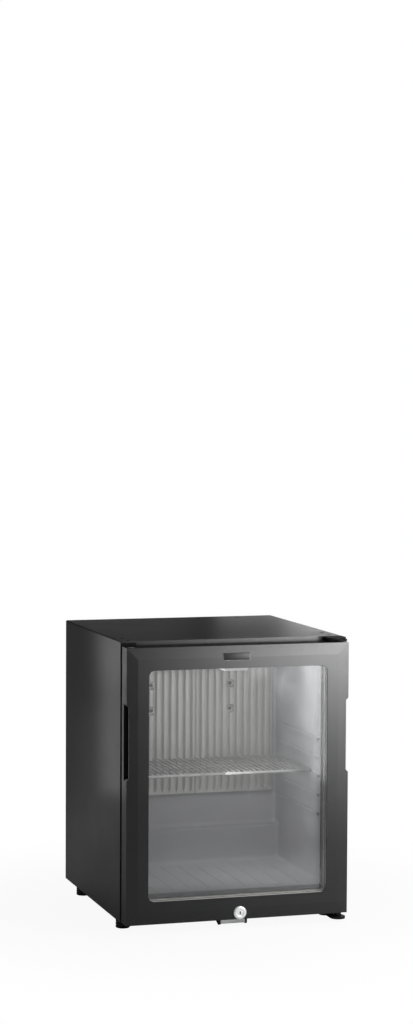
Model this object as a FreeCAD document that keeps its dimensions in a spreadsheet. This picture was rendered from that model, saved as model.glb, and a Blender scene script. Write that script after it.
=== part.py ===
import FreeCAD, Part
import math
import os
import Sketcher
from FreeCAD import Placement, Rotation, Vector
from types import SimpleNamespace

# A glass-door absorption minibar, in millimetres.
# X runs to the right, Y to the back and Z up, from the middle of the floor under the fridge.
# Depths are measured from the door's front face to the back.

SIZES = {
    # the whole fridge
    "cabinet_width": 402.0,
    "cabinet_height": 500.0,
    "total_depth": 425.0,
    "foot_height": 17.0,
    "sheet_steel": 1.0,
    "shell_return": 13.0,
    "shell_round": 2.5,
    "cut_overrun": 10.0,
    "moving_gap": 0.3,
    "pin_clearance": 0.05,
    # the room inside
    "side_wall": 36.0,
    "cavity_floor": 63.0,
    "top_wall": 36.0,
    "recess_depth": 93.5,
    "cavity_round": 8.0,
    "step_round": 2.5,
    "liner_wall": 1.5,
    "flange_drop": 34.0,
    "step_depth": 20.0,
    "step_height": 64.5,
    "back_foam": 37.0,
    "ledge_spacing": 33.0,
    "ledge_height": 5.0,
    "ledge_proud": 4.0,
    "ledge_front": 12.0,
    "ledge_rear_gap": 29.0,
    "ledge_round": 2.0,
    "shelf_level": 253.5,
    "floor_groove_width": 1.6,
    "floor_groove_deep": 0.8,
    "floor_groove_spacing": 33.0,
    "floor_groove_front": 22.0,
    "floor_groove_rear_gap": 12.0,
    "floor_groove_margin": 20.0,
    # the feet
    "foot_radius": 12.5,
    "foot_taper": 1.5,
    "foot_inset": 15.0,
    "foot_front_depth": 73.0,
    "foot_rear_behind": 18.5,
    "spigot_radius": 4.0,
    "spigot_length": 7.0,
    # the door
    "door_side_gap": 1.0,
    "door_bottom": 18.0,
    "door_drop": 8.0,
    "door_thickness": 31.0,
    "door_gap": 7.0,
    "rail_width": 39.0,
    "window_radius": 11.0,
    "frame_lip": 1.5,
    "glass_overlap": 9.0,
    "outer_pane": 4.0,
    "middle_pane": 3.5,
    "crown_width": 20.0,
    "crown_depth": 1.5,
    "grip_height": 130.0,
    "grip_drop": 161.5,
    "grip_notch": 4.3,
    "grip_pocket": 16.0,
    "grip_rear": 20.0,
    "grip_lip": 4.5,
    "retainer_thickness": 3.0,
    "retainer_side": 15.0,
    "retainer_top": 12.0,
    "retainer_foot": 24.0,
    "gasket_width": 12.0,
    "gasket_inset": 1.5,
    "gasket_lip": 4.0,
    "badge_width": 48.0,
    "badge_height": 13.0,
    "badge_drop": 12.5,
    "badge_shift": 5.0,
    "badge_thickness": 1.2,
    "badge_seat": 0.7,
    # the hinges
    "hinge_inset": 12.0,
    "hinge_depth": 15.0,
    "hinge_plate": 3.0,
    "arm_radius": 13.0,
    "arm_narrow": 2.0,
    "pin_radius": 4.0,
    "pin_reach": 11.0,
    "bush_radius": 6.0,
    "bush_length": 14.0,
    "bush_flange": 1.7,
    "bush_flange_radius": 8.0,
    "top_arm_gap": 1.5,
    "top_leaf_step": 43.0,
    "top_leaf_back": 112.0,
    "top_screw_front": 56.0,
    "top_screw_rear": 92.0,
    "top_screw_inset": 18.0,
    "cover_width": 36.0,
    "cover_front": 4.0,
    "cover_below_top": 0.6,
    "slot_gap": 0.4,
    "blank_lip": 1.6,
    "bottom_arm_level": 6.0,
    "bottom_plate": 4.0,
    "bottom_leaf_front": 42.0,
    "bottom_leaf_back": 58.0,
    "bottom_leaf_width": 84.0,
    "leaf_screw_spacing": 26.0,
    "screw_radius": 2.0,
    "screw_head_radius": 4.0,
    "screw_head_height": 2.4,
    "screw_length": 13.0,
    # the lock and its keeper
    "lock_radius": 11.5,
    "lock_projection": 3.0,
    "lock_dome": 2.2,
    "lock_rise": 11.7,
    "lock_shift": 3.0,
    "barrel_radius": 8.0,
    "plug_radius": 5.0,
    "keyhole_width": 1.8,
    "keyhole_height": 7.0,
    "keyhole_deep": 6.0,
    "nut_radius": 11.0,
    "nut_thickness": 2.5,
    "cam_gap": 0.4,
    "cam_thickness": 2.0,
    "cam_reach": 22.0,
    "cam_width": 11.0,
    "cam_square": 6.0,
    "cam_screw_radius": 3.5,
    "cam_screw_head": 1.3,
    "striker_half": 26.0,
    "striker_plate": 3.0,
    "ear_thickness": 4.0,
    "ear_front": 30.0,
    "ear_back": 60.0,
    "ear_low": 3.0,
    "ear_front_low": 5.0,
    "ear_front_top": 14.5,
    "keeper_thickness": 3.0,
    "keeper_height": 8.0,
    # the wire shelf
    "bar_radius": 2.5,
    "wire_radius": 1.25,
    "wire_spacing": 10.0,
    "wire_sink": 0.4,
    "wire_margin": 1.5,
    "shelf_side_gap": 1.5,
    "shelf_front": 91.0,
    "shelf_rear_gap": 34.0,
    # the cold plate and the lamp
    "plate_sheet": 1.2,
    "plate_side_gap": 7.0,
    "plate_rise": 126.5,
    "plate_top_gap": 7.0,
    "plate_back_gap": 0.5,
    "rib_spacing": 13.6,
    "rib_width": 10.0,
    "rib_crest": 5.5,
    "rib_proud": 7.0,
    "rib_run_out": 13.0,
    "plate_hem": 2.0,
    "groove_point": 0.4,
    "seam_shift": 8.0,
    "seam_width": 14.0,
    "seam_groove": 3.0,
    "cold_screw_inset": 17.0,
    "cold_screw_low_drop": 119.7,
    "cold_screw_high_drop": 73.5,
    "cold_screw_depth": 6.0,
    "cold_block_inset": 23.0,
    "cold_block_margin": 12.0,
    "cold_block_thickness": 17.5,
    "plug_inset": 50.0,
    "plug_margin": 12.0,
    "lamp_shift": 15.0,
    "lamp_width": 42.0,
    "lamp_front": 62.0,
    "lamp_length": 36.0,
    "lamp_height": 23.0,
    "lamp_wall": 1.6,
    "lamp_lens": 3.0,
    "lamp_board": 1.6,
    # the cooling unit in the rear recess
    "unit_behind": 43.5,
    "tube_radius": 8.0,
    "evaporator_radius": 7.0,
    "evaporator_drop": 86.0,
    "evaporator_spacing": 20.0,
    "tube_bend": 20.0,
    "boiler_inset": 66.0,
    "boiler_width": 66.0,
    "boiler_length": 60.0,
    "boiler_low": 95.0,
    "boiler_height": 240.0,
    "boiler_round": 6.0,
    "heater_radius": 6.0,
    "heater_offset": 19.0,
    "heater_length": 120.0,
    "heater_show": 8.0,
    "condenser_drop": 50.0,
    "condenser_rise": 20.0,
    "condenser_inset": 71.0,
    "fin_size": 46.0,
    "fin_sheet": 0.6,
    "fin_spacing": 10.5,
    "fin_start_gap": 31.0,
    "fin_end_gap": 34.5,
    "vessel_radius": 25.0,
    "vessel_level": 78.0,
    "vessel_box_gap": 30.0,
    "vessel_boiler_gap": 65.0,
    "vessel_dome": 7.0,
    "coil_low": 135.0,
    "coil_top_gap": 63.0,
    "coil_left_inset": 4.0,
    "coil_right_inset": 14.0,
    "exchanger_radius": 10.0,
    "exchanger_behind": 14.5,
    "exchanger_inset": 40.0,
    "bracket_sheet": 2.0,
    "bracket_width": 12.0,
    "bracket_leaf": 25.0,
    "bracket_gap": 3.0,
    "vessel_bracket_half": 38.0,
    # the rear rails, the control box and its knob
    "rail_sheet": 1.5,
    "rail_leaf": 38.0,
    "rail_upright": 20.0,
    "box_side_gap": 9.0,
    "box_width": 62.0,
    "box_length": 68.0,
    "box_low": 45.0,
    "box_height": 92.0,
    "box_round": 4.0,
    "knob_level": 108.0,
    "knob_radius": 15.0,
    "knob_height": 13.0,
    "knob_taper": 1.2,
    "knob_grip": 1.5,
    "knob_shaft_radius": 3.0,
    "knob_shaft_length": 12.0,
    "gland_level": 66.0,
    "gland_radius": 9.0,
    "gland_height": 8.0,
    "gland_taper": 1.5,
    "gland_bore": 4.0,
    "rear_screw_side": 23.0,
    "rear_screw_spacing": 75.3,
    "rear_screw_inset": 30.0,
}

LEDGES_EACH_WAY = 2
COIL_PASSES = 5
REAR_SCREWS = 5
KNOB_GRIPS = 12
HEX_SIDES = 6
FULL_TURN = 360.0
FACING = {
    "x": Rotation(Vector(0, 1, 0), 90),
    "y": Rotation(Vector(1, 0, 0), -90),
    "z": Rotation(),
}
LEFT = -1
RIGHT = 1


class Size:
    """A length that knows its number and the formula that reads it from the sheet."""

    def __init__(self, number, text):
        self.number = number
        self.text = text

    def __add__(self, other):
        other = as_size(other)
        return Size(self.number + other.number, f"({self.text} + {other.text})")

    def __sub__(self, other):
        other = as_size(other)
        return Size(self.number - other.number, f"({self.text} - {other.text})")

    def __mul__(self, other):
        other = as_size(other)
        return Size(self.number * other.number, f"({self.text} * {other.text})")

    def __truediv__(self, other):
        other = as_size(other)
        return Size(self.number / other.number, f"({self.text} / {other.text})")

    def __radd__(self, other):
        return as_size(other) + self

    def __rsub__(self, other):
        return as_size(other) - self

    def __rmul__(self, other):
        return as_size(other) * self

    def __neg__(self):
        return Size(-self.number, f"(-1 * {self.text})")


def as_size(value):
    """Treat a plain number as a size."""
    if isinstance(value, Size):
        return value
    return Size(value, repr(value))


def fill_sheet(document):
    """Write the driving sizes into the sheet and return them by name."""
    sheet = document.addObject("Spreadsheet::Sheet", "Sizes")
    for row, (name, number) in enumerate(SIZES.items(), start=1):
        sheet.set(f"A{row}", name.replace("_", " "))
        sheet.set(f"B{row}", str(number))
        sheet.setAlias(f"B{row}", name)
    document.recompute()
    return SimpleNamespace(**{name: Size(sheet.get(name), "Sizes." + name) for name in SIZES})


doc = FreeCAD.newDocument("minibar_fridge")
s = fill_sheet(doc)
pieces = []

# Places that several pieces share
door_front = (s.lock_projection - s.total_depth) / 2
cabinet_front = s.door_thickness + s.door_gap
cabinet_back = s.total_depth
half_cabinet = s.cabinet_width / 2
half_inside = half_cabinet - s.sheet_steel
half_mouth = half_cabinet - s.shell_return
top_inside = s.cabinet_height - s.sheet_steel
mouth_top = s.cabinet_height - s.shell_return
half_door = half_cabinet - s.door_side_gap
door_top = s.cabinet_height - s.door_drop
half_window = half_door - s.rail_width
window_low = s.door_bottom + s.rail_width
window_high = door_top - s.rail_width
skin_back = cabinet_front + s.sheet_steel
half_cavity = half_cabinet - s.side_wall
cavity_top = s.cabinet_height - s.top_wall
plate_back = cabinet_back - s.recess_depth
foam_back = plate_back - s.sheet_steel
liner_back = foam_back - s.back_foam
cavity_back = liner_back - s.liner_wall
step_front = cavity_back - s.step_depth
flange_low = s.cavity_floor - s.flange_drop
foot_rear = plate_back + s.foot_rear_behind
hinge_x = half_door - s.hinge_inset
lock_level = s.door_bottom + s.lock_rise
spacer_depth = (s.door_thickness - s.frame_lip - 2 * s.outer_pane - s.middle_pane) / 2

# Places of the cold plate and the cooling unit
plate_low = s.cavity_floor + s.plate_rise
plug_half = half_cavity - s.plug_inset
cold_block_half = plug_half - s.cold_block_inset
cold_screw_x = cold_block_half - s.cold_screw_inset
cold_screw_low = cavity_top - s.cold_screw_low_drop
cold_screw_high = cavity_top - s.cold_screw_high_drop
evaporator_high = cavity_top - s.evaporator_drop
evaporator_low = evaporator_high - s.evaporator_spacing
unit_deep = plate_back + s.unit_behind
box_outer = s.box_side_gap - half_cabinet
box_inner = box_outer + s.box_width
boiler_x = half_cabinet - s.boiler_inset
vessel_start = box_inner + s.vessel_box_gap
vessel_end = boiler_x - s.vessel_boiler_gap
exchanger_x = vessel_start + s.exchanger_inset
exchanger_deep = plate_back + s.exchanger_behind
condenser_level = s.cabinet_height - s.condenser_drop
condenser_corner = s.condenser_inset - half_cabinet
fin_first = boiler_x - s.fin_start_gap


def bind(thing, name, size):
    """Tie a property to a formula on the sheet."""
    thing.setExpression(name, as_size(size).text)


def place(thing, across=0, deep=0, high=0, facing="z"):
    """Put a thing at a place given as X, depth behind the door's front, and height."""
    thing.Placement = Placement(Vector(), FACING[facing])
    bind(thing, "Placement.Base.x", across)
    bind(thing, "Placement.Base.y", door_front + deep)
    bind(thing, "Placement.Base.z", high)
    return thing


def block(name, across, deep, high):
    """A box between two places along each axis."""
    box = doc.addObject("Part::Box", name)
    for side, ends in zip(("Length", "Width", "Height"), (across, deep, high)):
        bind(box, side, as_size(ends[1]) - ends[0])
    return place(box, across[0], deep[0], high[0])


def rod(name, radius, across, deep, high, length, facing="z"):
    """A round rod that starts at a place and runs along one axis."""
    bar = doc.addObject("Part::Cylinder", name)
    bind(bar, "Radius", radius)
    bind(bar, "Height", length)
    return place(bar, across, deep, high, facing)


def cone(name, low_radius, high_radius, across, deep, high, length, facing="z"):
    """A cone that starts at a place and runs along one axis."""
    shape = doc.addObject("Part::Cone", name)
    bind(shape, "Radius1", low_radius)
    bind(shape, "Radius2", high_radius)
    bind(shape, "Height", length)
    return place(shape, across, deep, high, facing)


def fuse(name, parts):
    """Join solids that touch or overlap into one."""
    joined = doc.addObject("Part::MultiFuse", name)
    joined.Shapes = parts
    joined.Refine = True
    return joined


def group(name, parts):
    """Keep several like solids together as one piece."""
    together = doc.addObject("Part::Compound", name)
    together.Links = parts
    return together


def cut(name, base, tools):
    """Take the tools away from a solid."""
    result = doc.addObject("Part::Cut", name)
    result.Base = base
    result.Tool = tools[0] if len(tools) == 1 else fuse(name + "_tools", tools)
    return result


def keep(piece, *others):
    """List the finished pieces."""
    pieces.extend((piece,) + others)
    return piece


def new_body(name, across=0, deep=0, high=0, facing="z"):
    """A body whose own origin lies at a place in the fridge."""
    return place(doc.addObject("PartDesign::Body", name), across, deep, high, facing)


def new_sketch(body, role, offset=0):
    """A sketch on one of the body's origin planes, moved along the plane's normal."""
    sketch = body.newObject("Sketcher::SketchObject", body.Name + "_sketch")
    plane = [feature for feature in body.Origin.OriginFeatures if feature.Role == role][0]
    sketch.AttachmentSupport = [(plane, "")]
    sketch.MapMode = "FlatFace"
    bind(sketch, "AttachmentOffset.Base.z", offset)
    return sketch


def hold(sketch, kind, edge, end, size):
    """Hold one point of an edge at a distance from the sketch's origin."""
    size = as_size(size)
    number = sketch.addConstraint(Sketcher.Constraint(kind, -1, 1, edge, end, float(size.number)))
    sketch.setExpression(f"Constraints[{number}]", size.text)


def outline(sketch, points):
    """A closed outline of straight edges through points given by formulas."""
    first = sketch.GeometryCount
    points = [(as_size(across), as_size(up)) for across, up in points]
    for start, end in zip(points, points[1:] + points[:1]):
        low = Vector(start[0].number, start[1].number, 0)
        sketch.addGeometry(Part.LineSegment(low, Vector(end[0].number, end[1].number, 0)))
    for step, (across, up) in enumerate(points):
        edge = first + step
        following = first + (step + 1) % len(points)
        sketch.addConstraint(Sketcher.Constraint("Coincident", edge, 2, following, 1))
        hold(sketch, "DistanceX", edge, 1, across)
        hold(sketch, "DistanceY", edge, 1, up)


def rectangle(sketch, across, up):
    """A rectangle between two places along each axis of the sketch."""
    outline(sketch, [(across[0], up[0]), (across[1], up[0]), (across[1], up[1]), (across[0], up[1])])


def round_rectangle(sketch, across, up, radius):
    """A rectangle with four equal round corners."""
    x0, x1 = [as_size(x).number for x in across]
    y0, y1 = [as_size(y).number for y in up]
    r = as_size(radius).number
    first = sketch.GeometryCount
    sides = [
        ((x0 + r, y0), (x1 - r, y0)),
        ((x1, y0 + r), (x1, y1 - r)),
        ((x1 - r, y1), (x0 + r, y1)),
        ((x0, y1 - r), (x0, y0 + r)),
    ]
    corners = [(x1 - r, y0 + r), (x1 - r, y1 - r), (x0 + r, y1 - r), (x0 + r, y0 + r)]
    for start, end in sides:
        sketch.addGeometry(Part.LineSegment(Vector(*start, 0), Vector(*end, 0)))
    for quarter, corner in enumerate(corners):
        circle = Part.Circle(Vector(*corner, 0), Vector(0, 0, 1), r)
        turn = (quarter - 1) * math.pi / 2
        sketch.addGeometry(Part.ArcOfCircle(circle, turn, turn + math.pi / 2))
    for side in range(4):
        arc = first + 4 + side
        sketch.addConstraint(Sketcher.Constraint("Tangent", first + side, 2, arc, 1))
        sketch.addConstraint(Sketcher.Constraint("Tangent", arc, 2, first + (side + 1) % 4, 1))
        level = "Horizontal" if side % 2 == 0 else "Vertical"
        sketch.addConstraint(Sketcher.Constraint(level, first + side))
    for arc in range(1, 4):
        sketch.addConstraint(Sketcher.Constraint("Equal", first + 4, first + 4 + arc))
    number = sketch.addConstraint(Sketcher.Constraint("Radius", first + 4, r))
    sketch.setExpression(f"Constraints[{number}]", as_size(radius).text)
    places = (("DistanceY", up[0]), ("DistanceX", across[1]), ("DistanceY", up[1]), ("DistanceX", across[0]))
    for side, (kind, size) in enumerate(places):
        hold(sketch, kind, first + side, 1, size)


def pad(body, sketch, length, reverse=False, both_ways=False):
    """Raise a sketch into a solid."""
    feature = body.newObject("PartDesign::Pad", body.Name + "_pad")
    feature.Profile = sketch
    bind(feature, "Length", length)
    feature.Reversed = reverse
    feature.SideType = "Symmetric" if both_ways else "One side"
    return feature


def pocket(body, sketch, length, reverse=False, both_ways=False):
    """Cut a sketch into the body."""
    feature = body.newObject("PartDesign::Pocket", body.Name + "_pocket")
    feature.Profile = sketch
    bind(feature, "Length", length)
    feature.Reversed = reverse
    feature.SideType = "Symmetric" if both_ways else "One side"
    return feature


def revolve(body, sketch):
    """Turn a sketch about its own upright axis."""
    feature = body.newObject("PartDesign::Revolution", body.Name + "_turned")
    feature.Profile = sketch
    feature.ReferenceAxis = (sketch, ["V_Axis"])
    feature.Angle = FULL_TURN
    return feature


def mirror(body, features, role):
    """Repeat features on the other side of an origin plane."""
    copy = body.newObject("PartDesign::Mirrored", body.Name + "_mirrored")
    copy.Originals = features
    plane = [feature for feature in body.Origin.OriginFeatures if feature.Role == role][0]
    copy.MirrorPlane = (plane, [""])
    body.Tip = copy
    return copy


def round_edges(body, feature, radius, wanted):
    """Round the edges of a feature that pass a test."""
    doc.recompute()
    rounded = body.newObject("PartDesign::Fillet", body.Name + "_rounded")
    rounded.Base = (feature, edge_names(feature, wanted))
    bind(rounded, "Radius", radius)
    return rounded


def loft(kind, body, sections):
    """A solid, or a cut, whose outline changes evenly from one sketch to the next."""
    feature = body.newObject("PartDesign::" + kind, body.Name + "_loft")
    feature.Profile = sections[0]
    feature.Sections = sections[1:]
    feature.Ruled = True
    return feature


def row_of(body, features, role, length, count, reverse=False):
    """Repeat features along an origin axis."""
    copy = body.newObject("PartDesign::LinearPattern", body.Name + "_row")
    copy.Originals = features
    axis = [feature for feature in body.Origin.OriginFeatures if feature.Role == role][0]
    copy.Direction = (axis, [""])
    copy.Reversed = reverse
    bind(copy, "Length", length)
    copy.Occurrences = count
    body.Tip = copy
    return copy


def how_many(room, spacing):
    """How many features with equal spacing fit in a room, the first at its start."""
    return int(room.number / spacing.number) + 1


def straight(start, end):
    """A straight edge, or nothing where one bend follows another at once."""
    if (end - start).Length < s.pin_clearance.number:
        return []
    return [Part.makeLine(start, end)]


def tube(name, radius, points, bend):
    """A bent round tube through points given as X, depth and height."""
    spots = [Vector(as_size(x).number, (door_front + d).number, as_size(z).number) for x, d, z in points]
    bend = as_size(bend).number
    edges = []
    start = spots[0]
    for before, corner, after in zip(spots, spots[1:], spots[2:]):
        arrive = (corner - before).normalize()
        leave = (after - corner).normalize()
        turn = arrive.getAngle(leave)
        trim = bend * math.tan(turn / 2)
        enter = corner - arrive * trim
        middle_way = (leave - arrive).normalize()
        middle = corner + middle_way * (bend / math.cos(turn / 2) - bend)
        edges += straight(start, enter)
        start = corner + leave * trim
        edges.append(Part.Arc(enter, middle, start).toShape())
    edges += straight(start, spots[-1])
    path = Part.Wire(edges)
    ring = Part.Wire([Part.makeCircle(as_size(radius).number, spots[0], spots[1] - spots[0])])
    solid = path.makePipeShell([ring], True, False)
    piece = doc.addObject("Part::Feature", name)
    piece.Shape = solid
    return piece


def make_shell():
    """The wrapped steel shell: two sides and the top, with folded edges front and back."""
    body = new_body("shell_wrap")
    sketch = new_sketch(body, "XZ_Plane", -cabinet_front)
    rectangle(sketch, (-half_cabinet, half_cabinet), (s.foot_height, s.cabinet_height))
    full = pad(body, sketch, cabinet_back - cabinet_front, reverse=True)
    round_edges(body, full, s.shell_round,
                lambda edge: along_y(edge) and edge.BoundBox.ZMin > top_inside.number)
    inside = new_sketch(body, "XZ_Plane", -skin_back)
    rectangle(inside, (-half_inside, half_inside), (s.foot_height - s.cut_overrun, top_inside))
    pocket(body, inside, cabinet_back - cabinet_front - 2 * s.sheet_steel)
    mouth = new_sketch(body, "XZ_Plane", s.cut_overrun)
    rectangle(mouth, (-half_mouth, half_mouth), (s.foot_height - s.cut_overrun, mouth_top))
    pocket(body, mouth, cabinet_back + 2 * s.cut_overrun)
    slots = [hinge_slot("hinge_slot_right", RIGHT), hinge_slot("hinge_slot_left", LEFT)]
    return keep(cut("outer_shell", body, slots + screw_set("shell_screw_holes")))


def along_y(edge):
    """True for a straight edge that runs from front to back."""
    box = edge.BoundBox
    return box.YLength > s.sheet_steel.number and box.XLength + box.ZLength < s.pin_clearance.number


def edge_names(feature, wanted):
    """The names of a feature's edges that pass a test."""
    return [f"Edge{n}" for n, edge in enumerate(feature.Shape.Edges, start=1) if wanted(edge)]


def sided(side, low, high):
    """An X range on the right, or its mirror image on the left."""
    if side == RIGHT:
        return low, high
    return -high, -low


top_arm_low = door_top + s.top_arm_gap
top_arm_high = top_arm_low + s.hinge_plate
leaf_outer = hinge_x + s.arm_radius - s.arm_narrow
leaf_inner = hinge_x - s.arm_radius
top_screw_x = half_cabinet - s.top_screw_inset


def hinge_slot(name, side):
    """The slot in the folded front edge through which a hinge arm can come out."""
    across = sided(side, leaf_inner - s.slot_gap, leaf_outer + s.slot_gap)
    deep = (cabinet_front - s.cut_overrun, skin_back + s.sheet_steel / 2)
    return block(name, across, deep, (top_arm_low - s.slot_gap, top_arm_high + s.slot_gap))


def sunk_screw(name, across, deep):
    """A countersunk screw whose head lies level with the top."""
    top = s.cabinet_height
    head = cone(name + "_head", s.screw_radius, s.screw_head_radius, across, deep,
                top - s.screw_head_height, s.screw_head_height)
    shank = rod(name + "_shank", s.screw_radius, across, deep, top - s.screw_length, s.screw_length)
    return fuse(name, [head, shank])


def screw_set(name):
    """The four countersunk screws at the top's front corners."""
    screws = []
    for side, word in ((LEFT, "left"), (RIGHT, "right")):
        for deep, spot in ((s.top_screw_front, "front"), (s.top_screw_rear, "rear")):
            screws.append(sunk_screw(f"{name}_{word}_{spot}", side * top_screw_x, deep))
    return screws


def make_top_hinge():
    """The upper hinge: a leaf under the top skin, its arm, the pin, a cover, and the spare side's blank."""
    across = (leaf_inner, leaf_outer)
    step_back = s.top_leaf_step + s.hinge_plate
    leaf = fuse("top_hinge_leaf", [
        block("top_hinge_arm", across, (s.hinge_depth, step_back), (top_arm_low, top_arm_high)),
        block("top_hinge_riser", across, (s.top_leaf_step, step_back), (top_arm_low, top_inside)),
        block("top_hinge_tail", across, (s.top_leaf_step, s.top_leaf_back),
              (top_inside - s.hinge_plate, top_inside)),
    ])
    nose = rod("top_hinge_nose", s.arm_radius, hinge_x, s.hinge_depth, top_arm_low, s.hinge_plate)
    pin_length = s.pin_reach + s.top_arm_gap + s.hinge_plate
    pin = rod("top_hinge_pin", s.pin_radius, hinge_x, s.hinge_depth, top_arm_high - pin_length, pin_length)
    bracket = cut("top_hinge_bracket", fuse("top_hinge_plate", [leaf, nose]),
                  [rod("top_pin_hole", s.pin_radius, hinge_x, s.hinge_depth, door_top, s.cut_overrun)]
                  + screw_set("bracket_screw_holes")[2:])
    cover_top = s.cabinet_height - s.cover_below_top
    cover_right = hinge_x + s.arm_radius
    cover_left = cover_right - s.cover_width
    deep = (s.cover_front, cabinet_front - s.moving_gap)
    lid = block("cover_lid", (cover_left, cover_right), deep, (top_arm_high, cover_top))
    skirt = block("cover_skirt", (cover_left, leaf_inner - s.moving_gap), deep,
                  (door_top + 2 * s.moving_gap, top_arm_high))
    shape = fuse("cover_shape", [lid, skirt])
    outer = rod("cover_round", s.cover_width / 2, cover_right - s.cover_width / 2,
                s.cover_front + s.cover_width / 2, door_top, s.cut_overrun)
    rear = block("cover_square", (cover_left, cover_right),
                 (s.cover_front + s.cover_width / 2, cabinet_front), (door_top, door_top + s.cut_overrun))
    cover = doc.addObject("Part::Common", "top_hinge_cover")
    cover.Base = shape
    cover.Tool = fuse("cover_outline", [outer, rear])
    lip = block("blank_lip_plate", sided(LEFT, leaf_inner - s.blank_lip, leaf_outer),
                (cabinet_front - s.blank_lip, cabinet_front),
                (top_arm_low - s.blank_lip + s.slot_gap, top_arm_high + s.blank_lip - s.slot_gap))
    tongue = block("blank_tongue", sided(LEFT, leaf_inner, leaf_outer), (cabinet_front, skin_back),
                   (top_arm_low, top_arm_high))
    blank = fuse("hinge_slot_blank", [lip, tongue])
    keep(bracket, pin, cover, blank, group("top_corner_screws", screw_set("corner_screw")))
    return leaf


def make_bottom_hinge():
    """The lower hinge: a joggled arm under the door, screwed to the underside, and its pin."""
    low = s.bottom_arm_level
    high = low + s.bottom_plate
    arm_right = hinge_x + s.arm_radius
    arm_left = hinge_x - s.arm_radius
    riser_back = s.bottom_leaf_front + s.bottom_plate
    arm = block("bottom_arm", (arm_left, arm_right - s.arm_narrow), (s.hinge_depth, riser_back), (low, high))
    nose = rod("bottom_nose", s.arm_radius, hinge_x, s.hinge_depth, low, s.bottom_plate)
    riser = block("bottom_riser", (arm_left, arm_right - s.arm_narrow), (s.bottom_leaf_front, riser_back),
                  (low, s.foot_height))
    leaf_left = arm_right - s.bottom_leaf_width
    leaf = block("bottom_leaf", (leaf_left, arm_right - s.arm_narrow),
                 (s.bottom_leaf_front, s.bottom_leaf_back), (s.foot_height - s.bottom_plate, s.foot_height))
    plate = fuse("bottom_hinge_plate", [arm, nose, riser, leaf])
    holes = [rod("bottom_pin_hole", s.pin_radius, hinge_x, s.hinge_depth, 0, s.foot_height)]
    screws = []
    middle = (s.bottom_leaf_front + s.bottom_leaf_back) / 2
    for number in range(2):
        across = leaf_left + s.foot_inset + number * s.leaf_screw_spacing
        shank_low = s.foot_height - s.bottom_plate
        shank = rod(f"leaf_screw_shank_{number}", s.screw_radius, across, middle, shank_low,
                    s.bottom_plate + s.sheet_steel)
        head = rod(f"leaf_screw_head_{number}", s.screw_head_radius, across, middle,
                   shank_low - s.screw_head_height, s.screw_head_height)
        screws.append(fuse(f"leaf_screw_{number}", [shank, head]))
        holes.append(rod(f"leaf_hole_{number}", s.screw_radius, across, middle, 0, s.foot_height))
    bracket = cut("bottom_hinge_bracket", plate, holes)
    collar_top = s.door_bottom - s.bush_flange - s.moving_gap
    pin_top = s.door_bottom + s.pin_reach
    shaft = rod("bottom_pin_shaft", s.pin_radius, hinge_x, s.hinge_depth, low, pin_top - low)
    collar = rod("bottom_pin_collar", s.bush_radius, hinge_x, s.hinge_depth, high, collar_top - high)
    keep(bracket, fuse("bottom_hinge_pin", [shaft, collar]), group("bottom_hinge_screws", screws))
    return screws


def make_base(leaf_screws):
    """The base plate with its upturned front edge, and holes for the feet and screws."""
    flat = block("base_flat", (-half_inside, half_inside), (skin_back, plate_back),
                 (s.foot_height, s.foot_height + s.sheet_steel))
    lip = block("base_lip", (-half_mouth, half_mouth), (cabinet_front, skin_back),
                (s.foot_height, flange_low))
    holes = [foot_spigot_hole(f"base_hole_{word}", side, s.foot_front_depth)
             for side, word in ((LEFT, "left"), (RIGHT, "right"))]
    return keep(cut("base_plate", fuse("base_sheet", [flat, lip]), holes + leaf_screws))


def foot_spigot_hole(name, side, deep):
    """The round hole that a foot's spigot is pressed into."""
    return rod(name, s.spigot_radius, side * (half_cabinet - s.foot_inset), deep, s.foot_height,
               s.spigot_length)


def make_feet():
    """Four moulded feet with a spigot on top."""
    for deep, end in ((s.foot_front_depth, "front"), (foot_rear, "rear")):
        for side, word in ((LEFT, "left"), (RIGHT, "right")):
            body = new_body(f"foot_{end}_{word}", side * (half_cabinet - s.foot_inset), deep)
            sketch = new_sketch(body, "XZ_Plane")
            top = s.foot_height + s.spigot_length
            outline(sketch, [
                (0, 0), (s.foot_radius - s.foot_taper, 0), (s.foot_radius, s.foot_taper),
                (s.foot_radius - s.foot_taper / 2, s.foot_height), (s.spigot_radius, s.foot_height),
                (s.spigot_radius, top), (0, top),
            ])
            revolve(body, sketch)
            keep(body)


def l_profile(body, wall, front):
    """A side view of the room inside, grown by a wall: its floor, its back and the step between them."""
    sketch = new_sketch(body, "YZ_Plane")
    floor = s.cavity_floor - wall
    step_top = s.cavity_floor + s.step_height - wall
    outline(sketch, [
        (front, floor), (step_front + wall, floor), (step_front + wall, step_top),
        (cavity_back + wall, step_top), (cavity_back + wall, cavity_top + wall), (front, cavity_top + wall),
    ])
    return sketch


def liner_block(name, wall):
    """The liner's outer form without its flange, as one solid."""
    body = new_body(name)
    pad(body, l_profile(body, wall, skin_back), 2 * (half_cavity + wall), both_ways=True)
    return body


def inside_corner(edge):
    """True for the edges where two of the room's walls meet, its mouth and the step's nose left out."""
    box = edge.BoundBox
    near = s.pin_clearance.number
    in_room = (abs(box.XMin) < half_cavity.number + near and abs(box.XMax) < half_cavity.number + near
               and box.ZMin > s.cavity_floor.number - near and box.ZMax < cavity_top.number + near)
    at_mouth = box.YMax < skin_back.number + near
    step_top = s.cavity_floor + s.step_height
    at_nose = box.YMax < step_front.number + near and abs(box.ZMin - step_top.number) < near
    return in_room and not at_mouth and not at_nose


def step_nose(edge):
    """True for the step's upper front edge."""
    box = edge.BoundBox
    near = s.pin_clearance.number
    step_top = s.cavity_floor + s.step_height
    return (box.XLength > half_cavity.number and abs(box.YMin - step_front.number) < near
            and abs(box.ZMin - step_top.number) < near and abs(box.ZMax - step_top.number) < near)


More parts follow.
